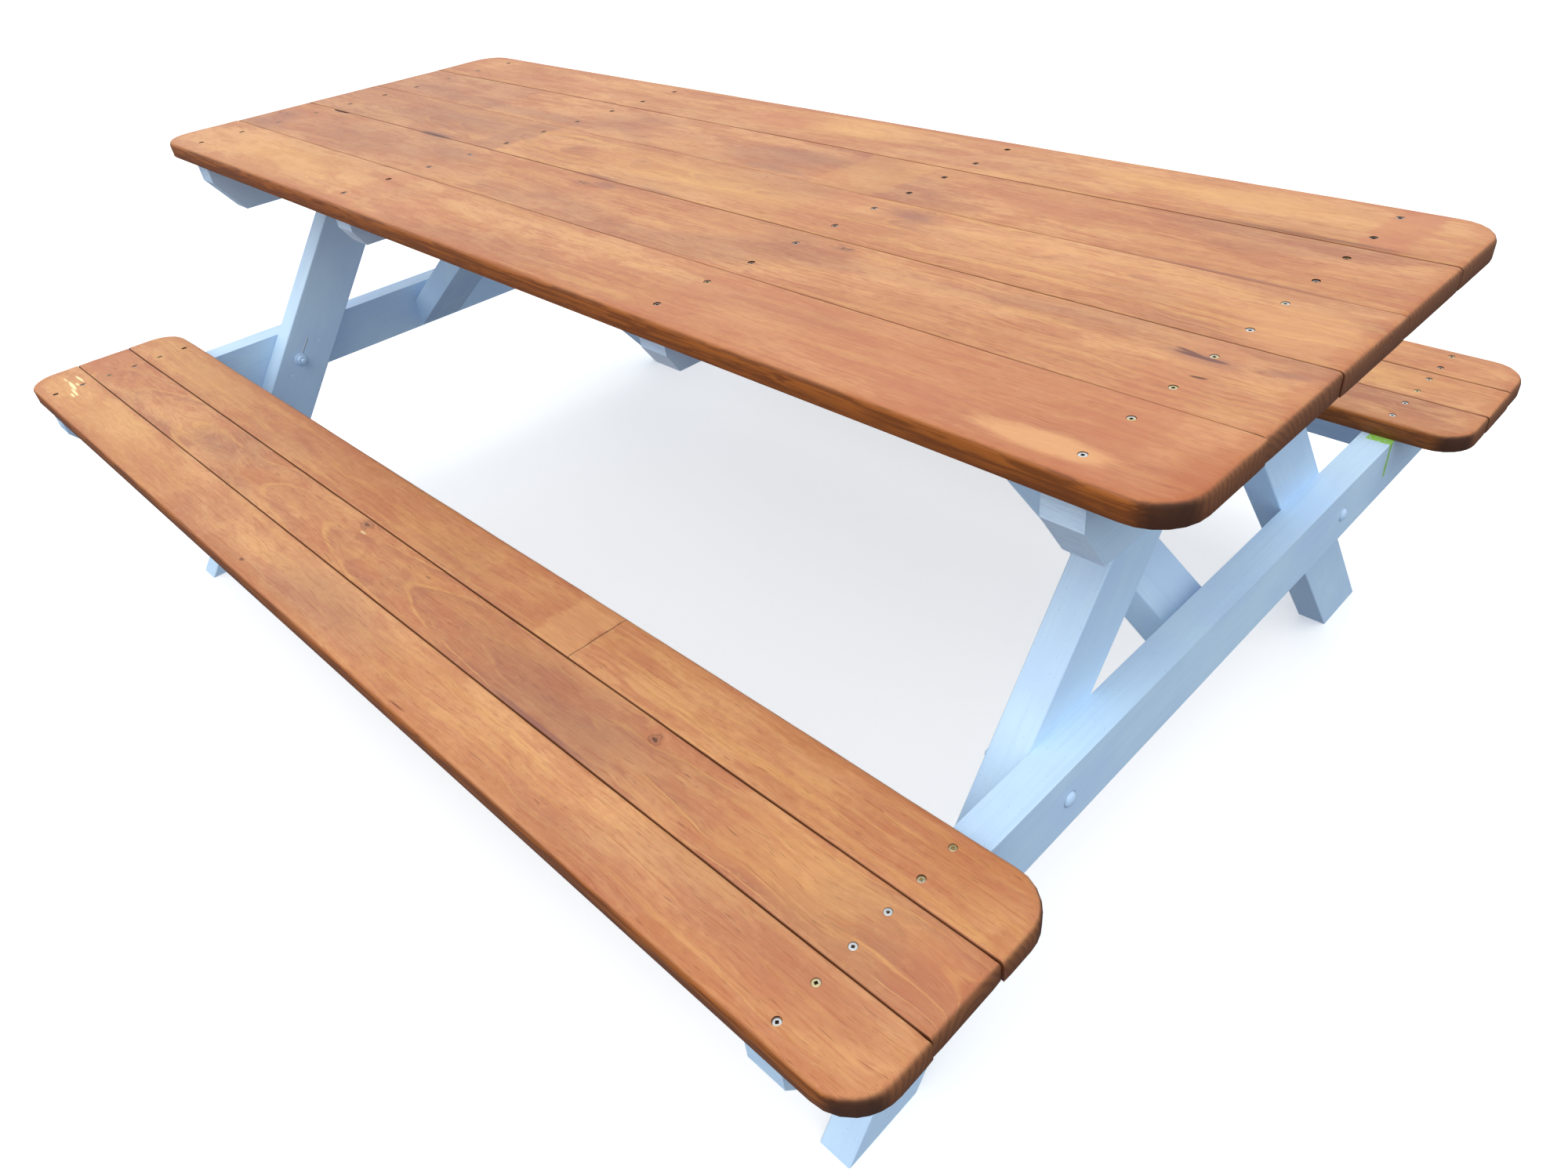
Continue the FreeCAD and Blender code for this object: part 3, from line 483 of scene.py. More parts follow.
def painted_wood(name, along, across, through, seed, marks=()):
    """Brushed satin paint on planed timber: brush lines, raised grain, thin arrises, dust specks.
    Each of marks takes the graph, the position and the tone and gives the new tone."""
    graph = Graph(name)
    place = graph.coordinate("Object")
    facing = graph.coordinate("Normal")
    directions = (along, across, through)
    a, b, c = (graph.vector("DOT_PRODUCT", place, way) for way in directions)
    end_way, side_way, face_way = (graph.vector("DOT_PRODUCT", facing, way) for way in directions)
    a = a + 7.3 * seed

    def field(per_length, per_width, detail, roughness=0.5):
        spot = graph.join(a * per_length, b * per_width, c * per_width)
        return graph.noise(spot, detail, roughness)

    brush = field(9.0, 420.0, 2.0)
    wide_brush = field(4.0, 120.0, 2.0)
    grain = field(2.5, 260.0, 3.0, 0.6)
    clouds = field(5.0, 9.0, 3.0, 0.6)
    specks = field(420.0, 420.0, 0.0)
    end_grain = graph.noise_in(place, (40.0, 520.0, 520.0), 2.0)
    cut_end = graph.span(abs(end_way), 0.30, 0.60)
    arris = abs(side_way * face_way)

    tone = graph.mix(graph.span(clouds, 0.32, 0.68), PAINT_BASE, PAINT_LIT)
    tone = graph.layered(tone, (
        (wide_brush, 0.50, 0.80, 0.10, PAINT_DULL),
        (brush, 0.50, 0.70, 0.16, PAINT_DULL),
        (grain, 0.62, 0.78, 0.12, PAINT_DULL)))
    thin = graph.span(arris, 0.20, 0.48) * graph.span(clouds, 0.40, 0.62)
    tone = graph.mix(thin * 0.45, tone, PAINT_DULL)
    tone = graph.mix(cut_end * graph.span(end_grain, 0.48, 0.70, 0.0, 0.55), tone, PAINT_DULL)
    tone = graph.layered(tone, ((specks, 0.82, 0.86, 0.25, PAINT_DARK_SPECK_AND_SHADE),))
    for mark in marks:
        tone = mark(graph, place, tone)
    height = (brush * 0.5 + wide_brush * 0.3 + grain * 0.3
              + graph.span(specks, 0.72, 0.84) * 0.5 + cut_end * (end_grain * 3.0))
    satin = wide_brush * 0.16 + 0.36 + cut_end * 0.14
    return graph.finish(tone, satin, height, 0.25 * MM, 0.5)


def green_smear(graph, place, tone):
    """Stray green paint over the seat beam's top edge, beside the far bench's inner edge."""
    bench_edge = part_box("far_seat_board_1")[0].y
    beam_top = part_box("seat_beam_right")[1].z
    x, y, z = graph.split(place)
    wobble = (graph.noise_in(place, (120.0, 120.0, 60.0), 3.0) - 0.5) * 0.010
    run = y + wobble
    drop = z + wobble * 1.6
    top = graph.inside(run, bench_edge - 0.013, bench_edge + 0.004, 0.002) * graph.math(
        "GREATER_THAN", z, beam_top - 0.0015)
    face = graph.inside(run, bench_edge - 0.014, bench_edge - 0.004, 0.002) * graph.span(
        drop, beam_top - 0.062, beam_top - 0.050)
    outer = graph.math("GREATER_THAN", x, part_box("seat_beam_right")[1].x - 0.034)
    share = graph.math("MAXIMUM", top, face) * outer
    cover = graph.span(graph.noise_in(place, (260.0, 260.0, 60.0), 2.0), 0.25, 0.5, 0.55, 0.95)
    return graph.mix(share * cover, tone, GREEN_PAINT)


def crack_shade_and_highlight(along, start, length):
    """A check in the timber above a bolt, bridged by paint and drawn only as colour: a line of painted
    shade with a painted highlight on its lip.
    """
    def mark(graph, place, tone):
        offset = graph.vector("SUBTRACT", place, start)
        run = graph.vector("DOT_PRODUCT", offset, along)
        side = graph.vector("DOT_PRODUCT", offset, X_AXIS.cross(along))
        within = graph.inside(run, 0.0, length, 0.003)
        lip_highlight = within * graph.inside(side, 0.0008, 0.0026, 0.0005)
        shade_line = within * graph.inside(side, -0.0012, 0.0006, 0.0004)
        tone = graph.mix(lip_highlight * 0.7, tone, PAINT_LIP_HIGHLIGHT)
        return graph.mix(shade_line * 0.75, tone, PAINT_DARK_SPECK_AND_SHADE)
    return mark


def bolt_shade_ring(spot, radius):
    """Painted shade: a thin dark line, broken in places, round a bolt's head where it meets the timber.
    """
    def mark(graph, place, tone):
        offset = graph.vector("SUBTRACT", place, spot)
        reach = graph.vector("LENGTH", graph.vector("MULTIPLY", offset, (0.0, 1.0, 1.0)))
        broken = graph.noise_in(offset, (0.0, 70.0, 70.0), 1.0)
        shade_line = graph.inside(reach, radius, radius + 1.4 * MM, 0.4 * MM)
        return graph.mix(shade_line * graph.span(broken, 0.35, 0.60, 0.15, 0.75), tone, PAINT_DARK_SPECK_AND_SHADE)
    return mark


def nail_hole_shade(spot, radius):
    """Painted shade of a small nail hole: a dark spot, with no hole cut."""
    def mark(graph, place, tone):
        reach = graph.vector("LENGTH", graph.vector("SUBTRACT", place, spot))
        return graph.mix(graph.span(reach, 0.6 * radius, 1.2 * radius, 0.9, 0.0), tone, NAIL_HOLE_SHADE)
    return mark


def painted_metal(name):
    """The frame's paint laid thick over bolts, nuts and screws."""
    graph = Graph(name)
    place = graph.coordinate("Object")
    lumps = graph.noise_in(place, (260.0, 260.0, 260.0), 2.0)
    clouds = graph.noise_in(place, (40.0, 40.0, 40.0), 2.0)
    tone = graph.layered(PAINT_BASE, ((clouds, 0.35, 0.65, 1.0, PAINT_LIT),
                                      (lumps, 0.58, 0.80, 0.4, PAINT_DULL)))
    return graph.finish(tone, graph.span(lumps, 0.2, 0.8, 0.28, 0.46), lumps, 0.5 * MM, 0.6)


def zinc(name):
    """Zinc on the screws: some silver, some yellow, scuffed by the driver, and tinted darker on all but
    the right end's rows."""
    graph = Graph(name)
    place = graph.coordinate("Object")
    batch = graph.noise_in(place, (19.0, 23.0, 3.0), 0.0)
    scuff = graph.noise_in(place, (900.0, 2600.0, 900.0), 2.0)
    tone = graph.layered(ZINC_SILVER, (
        (batch, 0.50, 0.60, 1.0, ZINC_YELLOW),
        (graph.split(place)[0], 0.55, 0.35, 0.65, STAIN_END_LIGHT),
        (scuff, 0.55, 0.75, 0.5, ZINC_SCUFF)))
    # painted shade in each screw's recess
    tone = graph.mix(graph.attribute("recess_shade"), tone, RECESS_SHADE_COLOUR)
    graph.feed(graph.shader, {"Metallic": 0.85})
    return graph.finish(tone, graph.span(scuff, 0.3, 0.8, 0.30, 0.55), scuff, 0.08 * MM, 0.5)


# ---- CAD solids read back
def welded(node):
    """A CAD node's mesh with its split corners joined."""
    mesh = bmesh.new()
    mesh.from_mesh(NODES[node].data)
    bmesh.ops.remove_doubles(mesh, verts=mesh.verts, dist=0.001 * MM)
    return mesh


def solids_of(node):
    """The corners of each separate solid of a CAD node, in a fixed order."""
    mesh = welded(node)
    waiting = set(mesh.verts)
    found = []
    while waiting:
        reached = [waiting.pop()]
        for vertex in reached:
            for edge in vertex.link_edges:
                other = edge.other_vert(vertex)
                if other in waiting:
                    waiting.remove(other)
                    reached.append(other)
        found.append(np.array([vertex.co for vertex in reached]))
    mesh.free()
    return sorted(found, key=lambda points: tuple(np.round(points.mean(0), 4)))


def seat_of(points):
    """The centre of a long fastener's head, the direction that it faces, and the length."""
    centred = points - points.mean(0)
    axis = np.linalg.svd(centred, full_matrices=False)[2][0]
    along = centred @ axis
    reach = np.linalg.norm(centred - np.outer(along, axis), axis=1)
    if along[reach.argmax()] < 0:
        axis = -axis
    side = Vector(axis).orthogonal().normalized()
    other = Vector(axis).cross(side)
    along = points @ axis
    centre = np.array(axis) * along.max()
    for way in (side, other):
        spread = points @ np.array(way)
        centre = centre + np.array(way) * (spread.min() + spread.max()) / 2
    return Vector(centre), Vector(axis), along.max() - along.min()


class Screw:
    """One screw: the centre of its head, its turn, and how much deeper it was driven."""

    def __init__(self, points, rng):
        self.head, self.out, self.length = seat_of(points)
        self.turn = rng.uniform(0, math.pi / 2)
        self.extra = rng.choice((0.1, 0.2, 0.3, 0.5, 0.7, 1.0, 1.4)) * MM


def read_screws(names):
    rng = random.Random(5)
    return {name: [Screw(points, rng) for points in solids_of(name)] for name in names}


# ---- mesh helpers
def new_mesh(name, points, faces):
    mesh = bpy.data.meshes.new(name)
    mesh.from_pydata([tuple(point) for point in points], [], faces)
    return mesh


def finish_piece(name, mesh, material, slot, *nodes):
    """An object that rides on the frame and stands for CAD nodes."""
    mesh.validate()
    mesh.shade_smooth()
    mesh.set_sharp_from_angle(angle=math.radians(38))
    mesh.materials.clear()
    mesh.materials.append(material)
    piece = add_object(name, mesh)
    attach(piece, "root")
    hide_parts(*nodes)
    return piece


def frame_at(head, out, turn=0.0):
    """A matrix that puts local +Z along 'out' with the origin at 'head'."""
    side = out.orthogonal().normalized()
    basis = Matrix((side, out.cross(side), out)).transposed().to_4x4()
    return Matrix.Translation(head) @ basis @ Matrix.Rotation(turn, 4, "Z")


def stack(rings, capped=True):
    """Points and faces of rings of equal count, one above the next."""
    count = len(rings[0])
    points = [point for ring in rings for point in ring]
    faces = []
    for base in range(0, len(points) - count, count):
        for step in range(count):
            here, beside = base + step, base + (step + 1) % count
            faces.append((here, beside, beside + count, here + count))
    if capped:
        faces.append(tuple(range(count - 1, -1, -1)))
        faces.append(tuple(range(len(points) - count, len(points))))
    return points, faces


def joined(parts):
    """Several (points, faces) sets as one."""
    points, faces = [], []
    for more_points, more_faces in parts:
        start = len(points)
        points.extend(more_points)
        faces.extend(tuple(start + index for index in face) for face in more_faces)
    return points, faces


def placed(part, matrix):
    return [matrix @ Vector(point) for point in part[0]], part[1]


def polar(radius, angle, height):
    return radius * math.cos(angle), radius * math.sin(angle), height


def circle(radius, height):
    return [polar(radius, angle, height) for angle in SPOKES]


def square(half, height, corner=1.0):
    """A square ring; a corner below 1 cuts its corners back."""
    ring = []
    for angle in SPOKES:
        cosine, sine = math.cos(angle), math.sin(angle)
        reach = min(half / max(abs(cosine), abs(sine)), half * math.sqrt(2) * corner)
        ring.append((reach * cosine, reach * sine, height))
    return ring


def thread(high, low, radius, depth, pitch):
    """Rings of a screw thread from a high to a low level, three to each turn."""
    rings = []
    steps = int((high - low) / pitch * 3)
    for step in range(steps + 1):
        height = high - (high - low) * step / steps
        ring = []
        for spoke, angle in enumerate(SPOKES):
            phase = (height / pitch - spoke / ROUND_COUNT) % 1.0
            reach = radius - depth * abs(2 * phase - 1) ** 0.7
            ring.append(polar(reach, angle, height))
        rings.append(ring)
    return rings


def downward(rings):
    """Points and faces of a solid whose rings are listed from the top down."""
    points, faces = stack(rings)
    return points, [face[::-1] for face in faces]


def screw_part(length, recess, recess_depth, edge):
    """A countersunk wood screw pointing down from its head, with a square recess."""
    cone = HEAD_RADIUS - SHANK_RADIUS
    smooth = -0.38 * length
    tip = -length + 2 * SHANK_RADIUS
    rings = [square(0.35 * recess, -recess_depth - 0.15 * MM),
             square(0.85 * recess, -recess_depth),
             square(recess, -0.85 * recess_depth),
             square(recess, -0.35 * MM, corner=0.97),
             square(recess + 0.15 * MM, -0.03 * MM, corner=0.93),
             circle(0.62 * HEAD_RADIUS, 0.0), circle(HEAD_RADIUS - edge, 0.0),
             circle(HEAD_RADIUS - 0.3 * edge, -0.3 * edge), circle(HEAD_RADIUS, -edge),
             circle(HEAD_RADIUS, -edge - 0.25 * MM),
             circle(SHANK_RADIUS, -edge - 0.25 * MM - cone), circle(SHANK_RADIUS, smooth)]
    rings += thread(smooth, tip, SHANK_RADIUS, 0.75 * MM, 3.0 * MM)
    rings += [circle(1.2 * MM, tip - 0.4 * (length + tip)), circle(0.2 * MM, -length)]
    return downward(rings)


def screw_group(name, node, screws, material, slot, recess_depth, edge):
    """Screws at their own depths and turns, with painted shade marked down in each recess."""
    parts = []
    for screw in screws:
        part = screw_part(screw.length - screw.extra, RECESS_HALF, recess_depth, edge)
        head = screw.head - screw.out * screw.extra
        parts.append(placed(part, frame_at(head, screw.out, screw.turn)))
    piece = finish_piece(name, new_mesh(name, *joined(parts)), material, slot, node)
    recess_shade = piece.data.attributes.new("recess_shade", "FLOAT", "POINT")
    per_screw = len(parts[0][0])
    for index, value in enumerate(recess_shade.data):
        value.value = 1.0 if index % per_screw < RECESS_POINTS else 0.0


def bolt_part(height, radius, length):
    """A coach bolt pointing down from the top of its painted dome, threaded at the far end."""
    dome = [circle(radius * math.cos(angle), -height + height * math.sin(angle))
            for angle in (math.radians(step) for step in (88, 70, 55, 40, 27, 16, 8, 3))]
    rings = dome + [circle(radius + 0.2 * MM, -height), circle(7 * MM, -height),
                    square(4.9 * MM, -height - 0.3 * MM), square(4.9 * MM, -height - 5 * MM),
                    circle(4.9 * MM, -height - 5.6 * MM), circle(4.95 * MM, -0.64 * length)]
    rings += thread(-0.66 * length, -length + 2.2 * MM, 4.95 * MM, 0.5 * MM, 1.5 * MM)
    rings += [circle(4.8 * MM, -length + 1.8 * MM), circle(4.4 * MM, -length + 0.8 * MM),
              circle(3.4 * MM, -length + 0.2 * MM), circle(1.6 * MM, -length)]
    return downward(rings)


def ring_part(profile, shape=None):
    """A closed ring turned from (radius, height, follow) rows; shape swells the radius by angle,
    as far as each row follows it."""
    points, faces = [], []
    for row, (radius, height, follow) in enumerate(profile):
        base, above = row * NUT_COUNT, (row + 1) % len(profile) * NUT_COUNT
        for step in range(NUT_COUNT):
            angle = 2 * math.pi * step / NUT_COUNT
            reach = radius * (1 + follow * (shape(angle) - 1)) if shape else radius
            points.append(polar(reach, angle, height))
            beside = (step + 1) % NUT_COUNT
            faces.append((base + step, base + beside, above + beside, above + step))
    return points, faces


def hexagon(angle):
    """How far a hexagon with soft corners reaches beyond its flats at an angle."""
    slant = (angle % (math.pi / 3)) - math.pi / 6
    return min(1 / math.cos(slant), 1.125)


def washer_part(wide, thick):
    """A flat washer standing on the origin, its rim softened by paint."""
    outer = wide / 2
    return ring_part([(5.6 * MM, 0, 0), (outer, 0, 0), (outer, 0.45 * thick, 0),
                      (outer - 0.3 * MM, 0.8 * thick, 0), (outer - 0.9 * MM, thick, 0),
                      (5.6 * MM, thick, 0)])


def nut_part(flats, thick):
    """A hexagon nut standing on the origin, its corners softened by paint."""
    half = flats / 2
    return ring_part([(5.05 * MM, 0, 0), (half - 0.8 * MM, 0, 0), (half, 0.12 * thick, 1),
                      (half, 0.78 * thick, 1), (half - 0.5 * MM, 0.9 * thick, 0.6),
                      (half - 1.4 * MM, thick, 0), (6.2 * MM, thick, 0),
                      (5.05 * MM, 0.92 * thick, 0)], shape=hexagon)


# ---- boards
# the crosswise side on which a board's corners are rounded
ROUNDED = {"table_board_1": -1, "table_board_5": 1, "near_seat_board_1": 1,
           "near_seat_board_3": -1, "far_seat_board_1": -1, "far_seat_board_3": 1}
# how far a joint closes, and the rounding of a joint's, an outer and an end edge
TABLE_ROUNDS = (0.6 * MM, 1.9 * MM, 6 * MM, 8 * MM)
BENCH_ROUNDS = (0.9 * MM, 3.0 * MM, 6.5 * MM, 9 * MM)
EDGE_TURNS = [math.radians(step) for step in (0, 18, 36, 54, 72, 90)]
UNDER_ROUND = 0.8 * MM
CELLS_LONG = 150
WIDE_BOARD = 0.1
# how much wider and deeper than the screw its seat and its hole are cut
SEAT_GAP = 0.4 * MM
HOLE_GAP = 0.1 * MM
DEPTH_GAP = 0.3 * MM


class Plan:
    """A board's outline: a rectangle with its own corner radii, walked in equal steps."""

    def __init__(self, low, high, radii, cells_long, cells_wide):
        self.low, self.high, self.radii = low, high, radii
        self.cells = (cells_long, cells_wide)

    def stations(self):
        """(side, share) around the outline: low side, right end, far side, left end."""
        return [(side, step / self.cells[side % 2])
                for side in range(4) for step in range(self.cells[side % 2])]

    def point(self, side, share, side_inset, end_inset):
        """Place on the outline after its sides and ends have moved inwards, and how much of
        the outward direction is lengthwise."""
        after = (side + 1) % 4
        arcs = [self.radii[corner] * math.pi / 4 for corner in (side, after)]
        length = self.high[side % 2] - self.low[side % 2]
        straight = length - self.radii[side] - self.radii[after]
        walk = share * (straight + arcs[0] + arcs[1])
        if walk < arcs[0]:
            angle = math.pi / 4 + walk / self.radii[side]
            return self.on_arc(side, angle, side_inset, end_inset)
        if walk > arcs[0] + straight:
            angle = (walk - arcs[0] - straight) / self.radii[after]
            return self.on_arc(after, angle, side_inset, end_inset)
        along = (walk - arcs[0]) / straight
        start = self.on_arc(side, math.pi / 2, side_inset, end_inset)
        end = self.on_arc(after, 0.0, side_inset, end_inset)
        spot = [(1 - along) * start[axis] + along * end[axis] for axis in (0, 1)]
        return spot[0], spot[1], float(side % 2)

    def on_arc(self, corner, angle, side_inset, end_inset):
        """A point on a corner's arc, 'angle' on from the side walked before it."""
        out_x, out_y = ((-1, -1), (1, -1), (1, 1), (-1, 1))[corner]
        x = self.high.x - end_inset if out_x > 0 else self.low.x + end_inset
        y = self.high.y - side_inset if out_y > 0 else self.low.y + side_inset
        reach_x = max(self.radii[corner] - end_inset, LEAST_RADIUS)
        reach_y = max(self.radii[corner] - side_inset, LEAST_RADIUS)
        cosine, sine = math.cos(angle), math.sin(angle)
        if corner % 2 == 1:
            cosine, sine = sine, cosine
        return x + out_x * reach_x * (cosine - 1), y + out_y * reach_y * (sine - 1), cosine * cosine


def nick_at(look, x, half_length):
    """Extra rounding where a splinter has left a joint's top edge."""
    extra = 0.0
    for start, end, depth in look.nicks:
        inside_by = min(x - start * half_length, end * half_length - x)
        extra = max(extra, depth * min(max(inside_by / (3 * MM), 0.0), 1.0))
    return extra


def board_mesh(name, look, rounded, swell, joint_round, outer_round, end_round, screws):
    """A planed board with hand-sanded edges and a countersunk hole for each screw.
    rounded is the crosswise side (-1 or 1) whose corners are rounded, or 0, and swell is how far
    the stain and the swollen wood close each joint."""
    low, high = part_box(name)
    half_length = (high.x - low.x) / 2
    low.x += look.trims[0]
    high.x -= look.trims[1]
    low.y -= 0 if rounded == -1 else swell
    high.y += 0 if rounded == 1 else swell
    near_radius, far_radius = (CORNER_RADIUS if side == rounded else JOINT_RADIUS
                               for side in (-1, 1))
    plan = Plan(low, high, (near_radius, near_radius, far_radius, far_radius), CELLS_LONG,
                10 if high.y - low.y > WIDE_BOARD else 8)
    middle_y = (low.y + high.y) / 2
    top = high.z - look.lower
    stations = plan.stations()

    def sanding(x, y):
        """How much the hand sander took off here, about 1."""
        spot = Vector((x * 5.0 + 9 * look.seed, y * 12.0, 0.0))
        return 1.0 + 0.35 * noise.noise(spot) + 0.10 * noise.noise(spot * 5)

    def sag(x, y):
        """How far the planed face lies below the top plane."""
        spot = Vector((x * 3.0, y * 10.0, 3 * look.seed))
        return 0.22 * MM * (1 + noise.noise(spot))

    def level(turn, above, beyond=0.0):
        """One ring round the board; turn is 0 on the upright side and 90 degrees on the face,
        where a ring a little beyond keeps the face flat up to its rounded edge."""
        ring = []
        for side, share in stations:
            plan_x, plan_y, lengthwise_part = plan.point(side, share, 0.0, 0.0)
            is_outer = (-1 if plan_y < middle_y else 1) == rounded
            if above:
                side_round = outer_round if is_outer else joint_round
                if plan_y > middle_y and not is_outer:
                    side_round += nick_at(look, plan_x, half_length)
                side_round *= sanding(plan_x, plan_y)
                over = end_round * sanding(plan_x, plan_y)
            else:
                side_round = over = UNDER_ROUND
            inset = 1 - math.cos(turn)
            x, y = plan.point(side, share, side_round * inset + beyond, over * inset + beyond)[:2]
            local = side_round + (over - side_round) * lengthwise_part
            drop = local * (1 - math.sin(turn))
            height = top - drop - sag(x, y) if above else low.z + drop
            ring.append((x, y, height))
        return ring

    rings = [level(math.pi / 2, False, MM)]
    rings += [level(turn, False) for turn in (math.pi / 2, math.pi / 4, 0.0)]
    rings += [level(turn, True) for turn in EDGE_TURNS]
    rings += [level(math.pi / 2, True, MM)]
    points, faces = stack(rings, capped=False)
    count = len(stations)
    for base, flip in ((0, True), (len(points) - count, False)):
        points, faces = fill_face(points, faces, base, plan.cells, flip)
    return drilled(new_mesh(name, points, faces), screw_cutters(screws, low, high))


def fill_face(points, faces, base, cells, flip):
    """Fills the ring that starts at 'base' with a grid whose inner points blend its four sides."""
    long_cells, wide_cells = cells
    count = 2 * (long_cells + wide_cells)
    index = {}
    for column in range(long_cells + 1):
        index[column, 0] = base + column
        index[column, wide_cells] = base + 2 * long_cells + wide_cells - column
    for row in range(wide_cells + 1):
        index[long_cells, row] = base + long_cells + row
        index[0, row] = base + (count - row) % count
    rim = {cell: np.array(points[number]) for cell, number in index.items()}
    for row in range(1, wide_cells):
        for column in range(1, long_cells):
            u, v = column / long_cells, row / wide_cells
            index[column, row] = len(points)
            points.append(tuple(
                (1 - v) * rim[column, 0] + v * rim[column, wide_cells]
                + (1 - u) * rim[0, row] + u * rim[long_cells, row]
                - (1 - u) * (1 - v) * rim[0, 0] - u * (1 - v) * rim[long_cells, 0]
                - u * v * rim[long_cells, wide_cells] - (1 - u) * v * rim[0, wide_cells]))
    for row in range(wide_cells):
        for column in range(long_cells):
            face = (index[column, row], index[column + 1, row],
                    index[column + 1, row + 1], index[column, row + 1])
            faces.append(face[::-1] if flip else face)
    return points, faces


def screw_cutters(screws, low, high):
    """Solids that cut a hole and a seat for each screw that goes down through a board."""
    parts = []
    for screw in screws:
        if not (low.y < screw.head.y < high.y and abs(screw.head.z - high.z) < 2 * MM):
            continue
        wide = HEAD_RADIUS + SEAT_GAP
        hole = SHANK_RADIUS + HOLE_GAP
        depth = screw.extra + DEPTH_GAP
        rings = [circle(wide, 3 * MM), circle(wide, -depth),
                 circle(hole, -depth - (wide - hole)), circle(hole, low.z - high.z - 4 * MM)]
        parts.append(placed(downward(rings), Matrix.Translation(screw.head)))
    return joined(parts)


def drilled(mesh, cutters):
    """The mesh less the cutters, as a new mesh."""
    board = add_object("board", mesh)
    tool = add_object("cutters", new_mesh("cutters", *cutters))
    cut = board.modifiers.new("holes", "BOOLEAN")
    cut.operation = "DIFFERENCE"
    cut.solver = "EXACT"
    cut.object = tool
    graph = bpy.context.evaluated_depsgraph_get()
    result = bpy.data.meshes.new_from_object(board.evaluated_get(graph))
    for item in (board, tool):
        bpy.data.objects.remove(item)
    return result


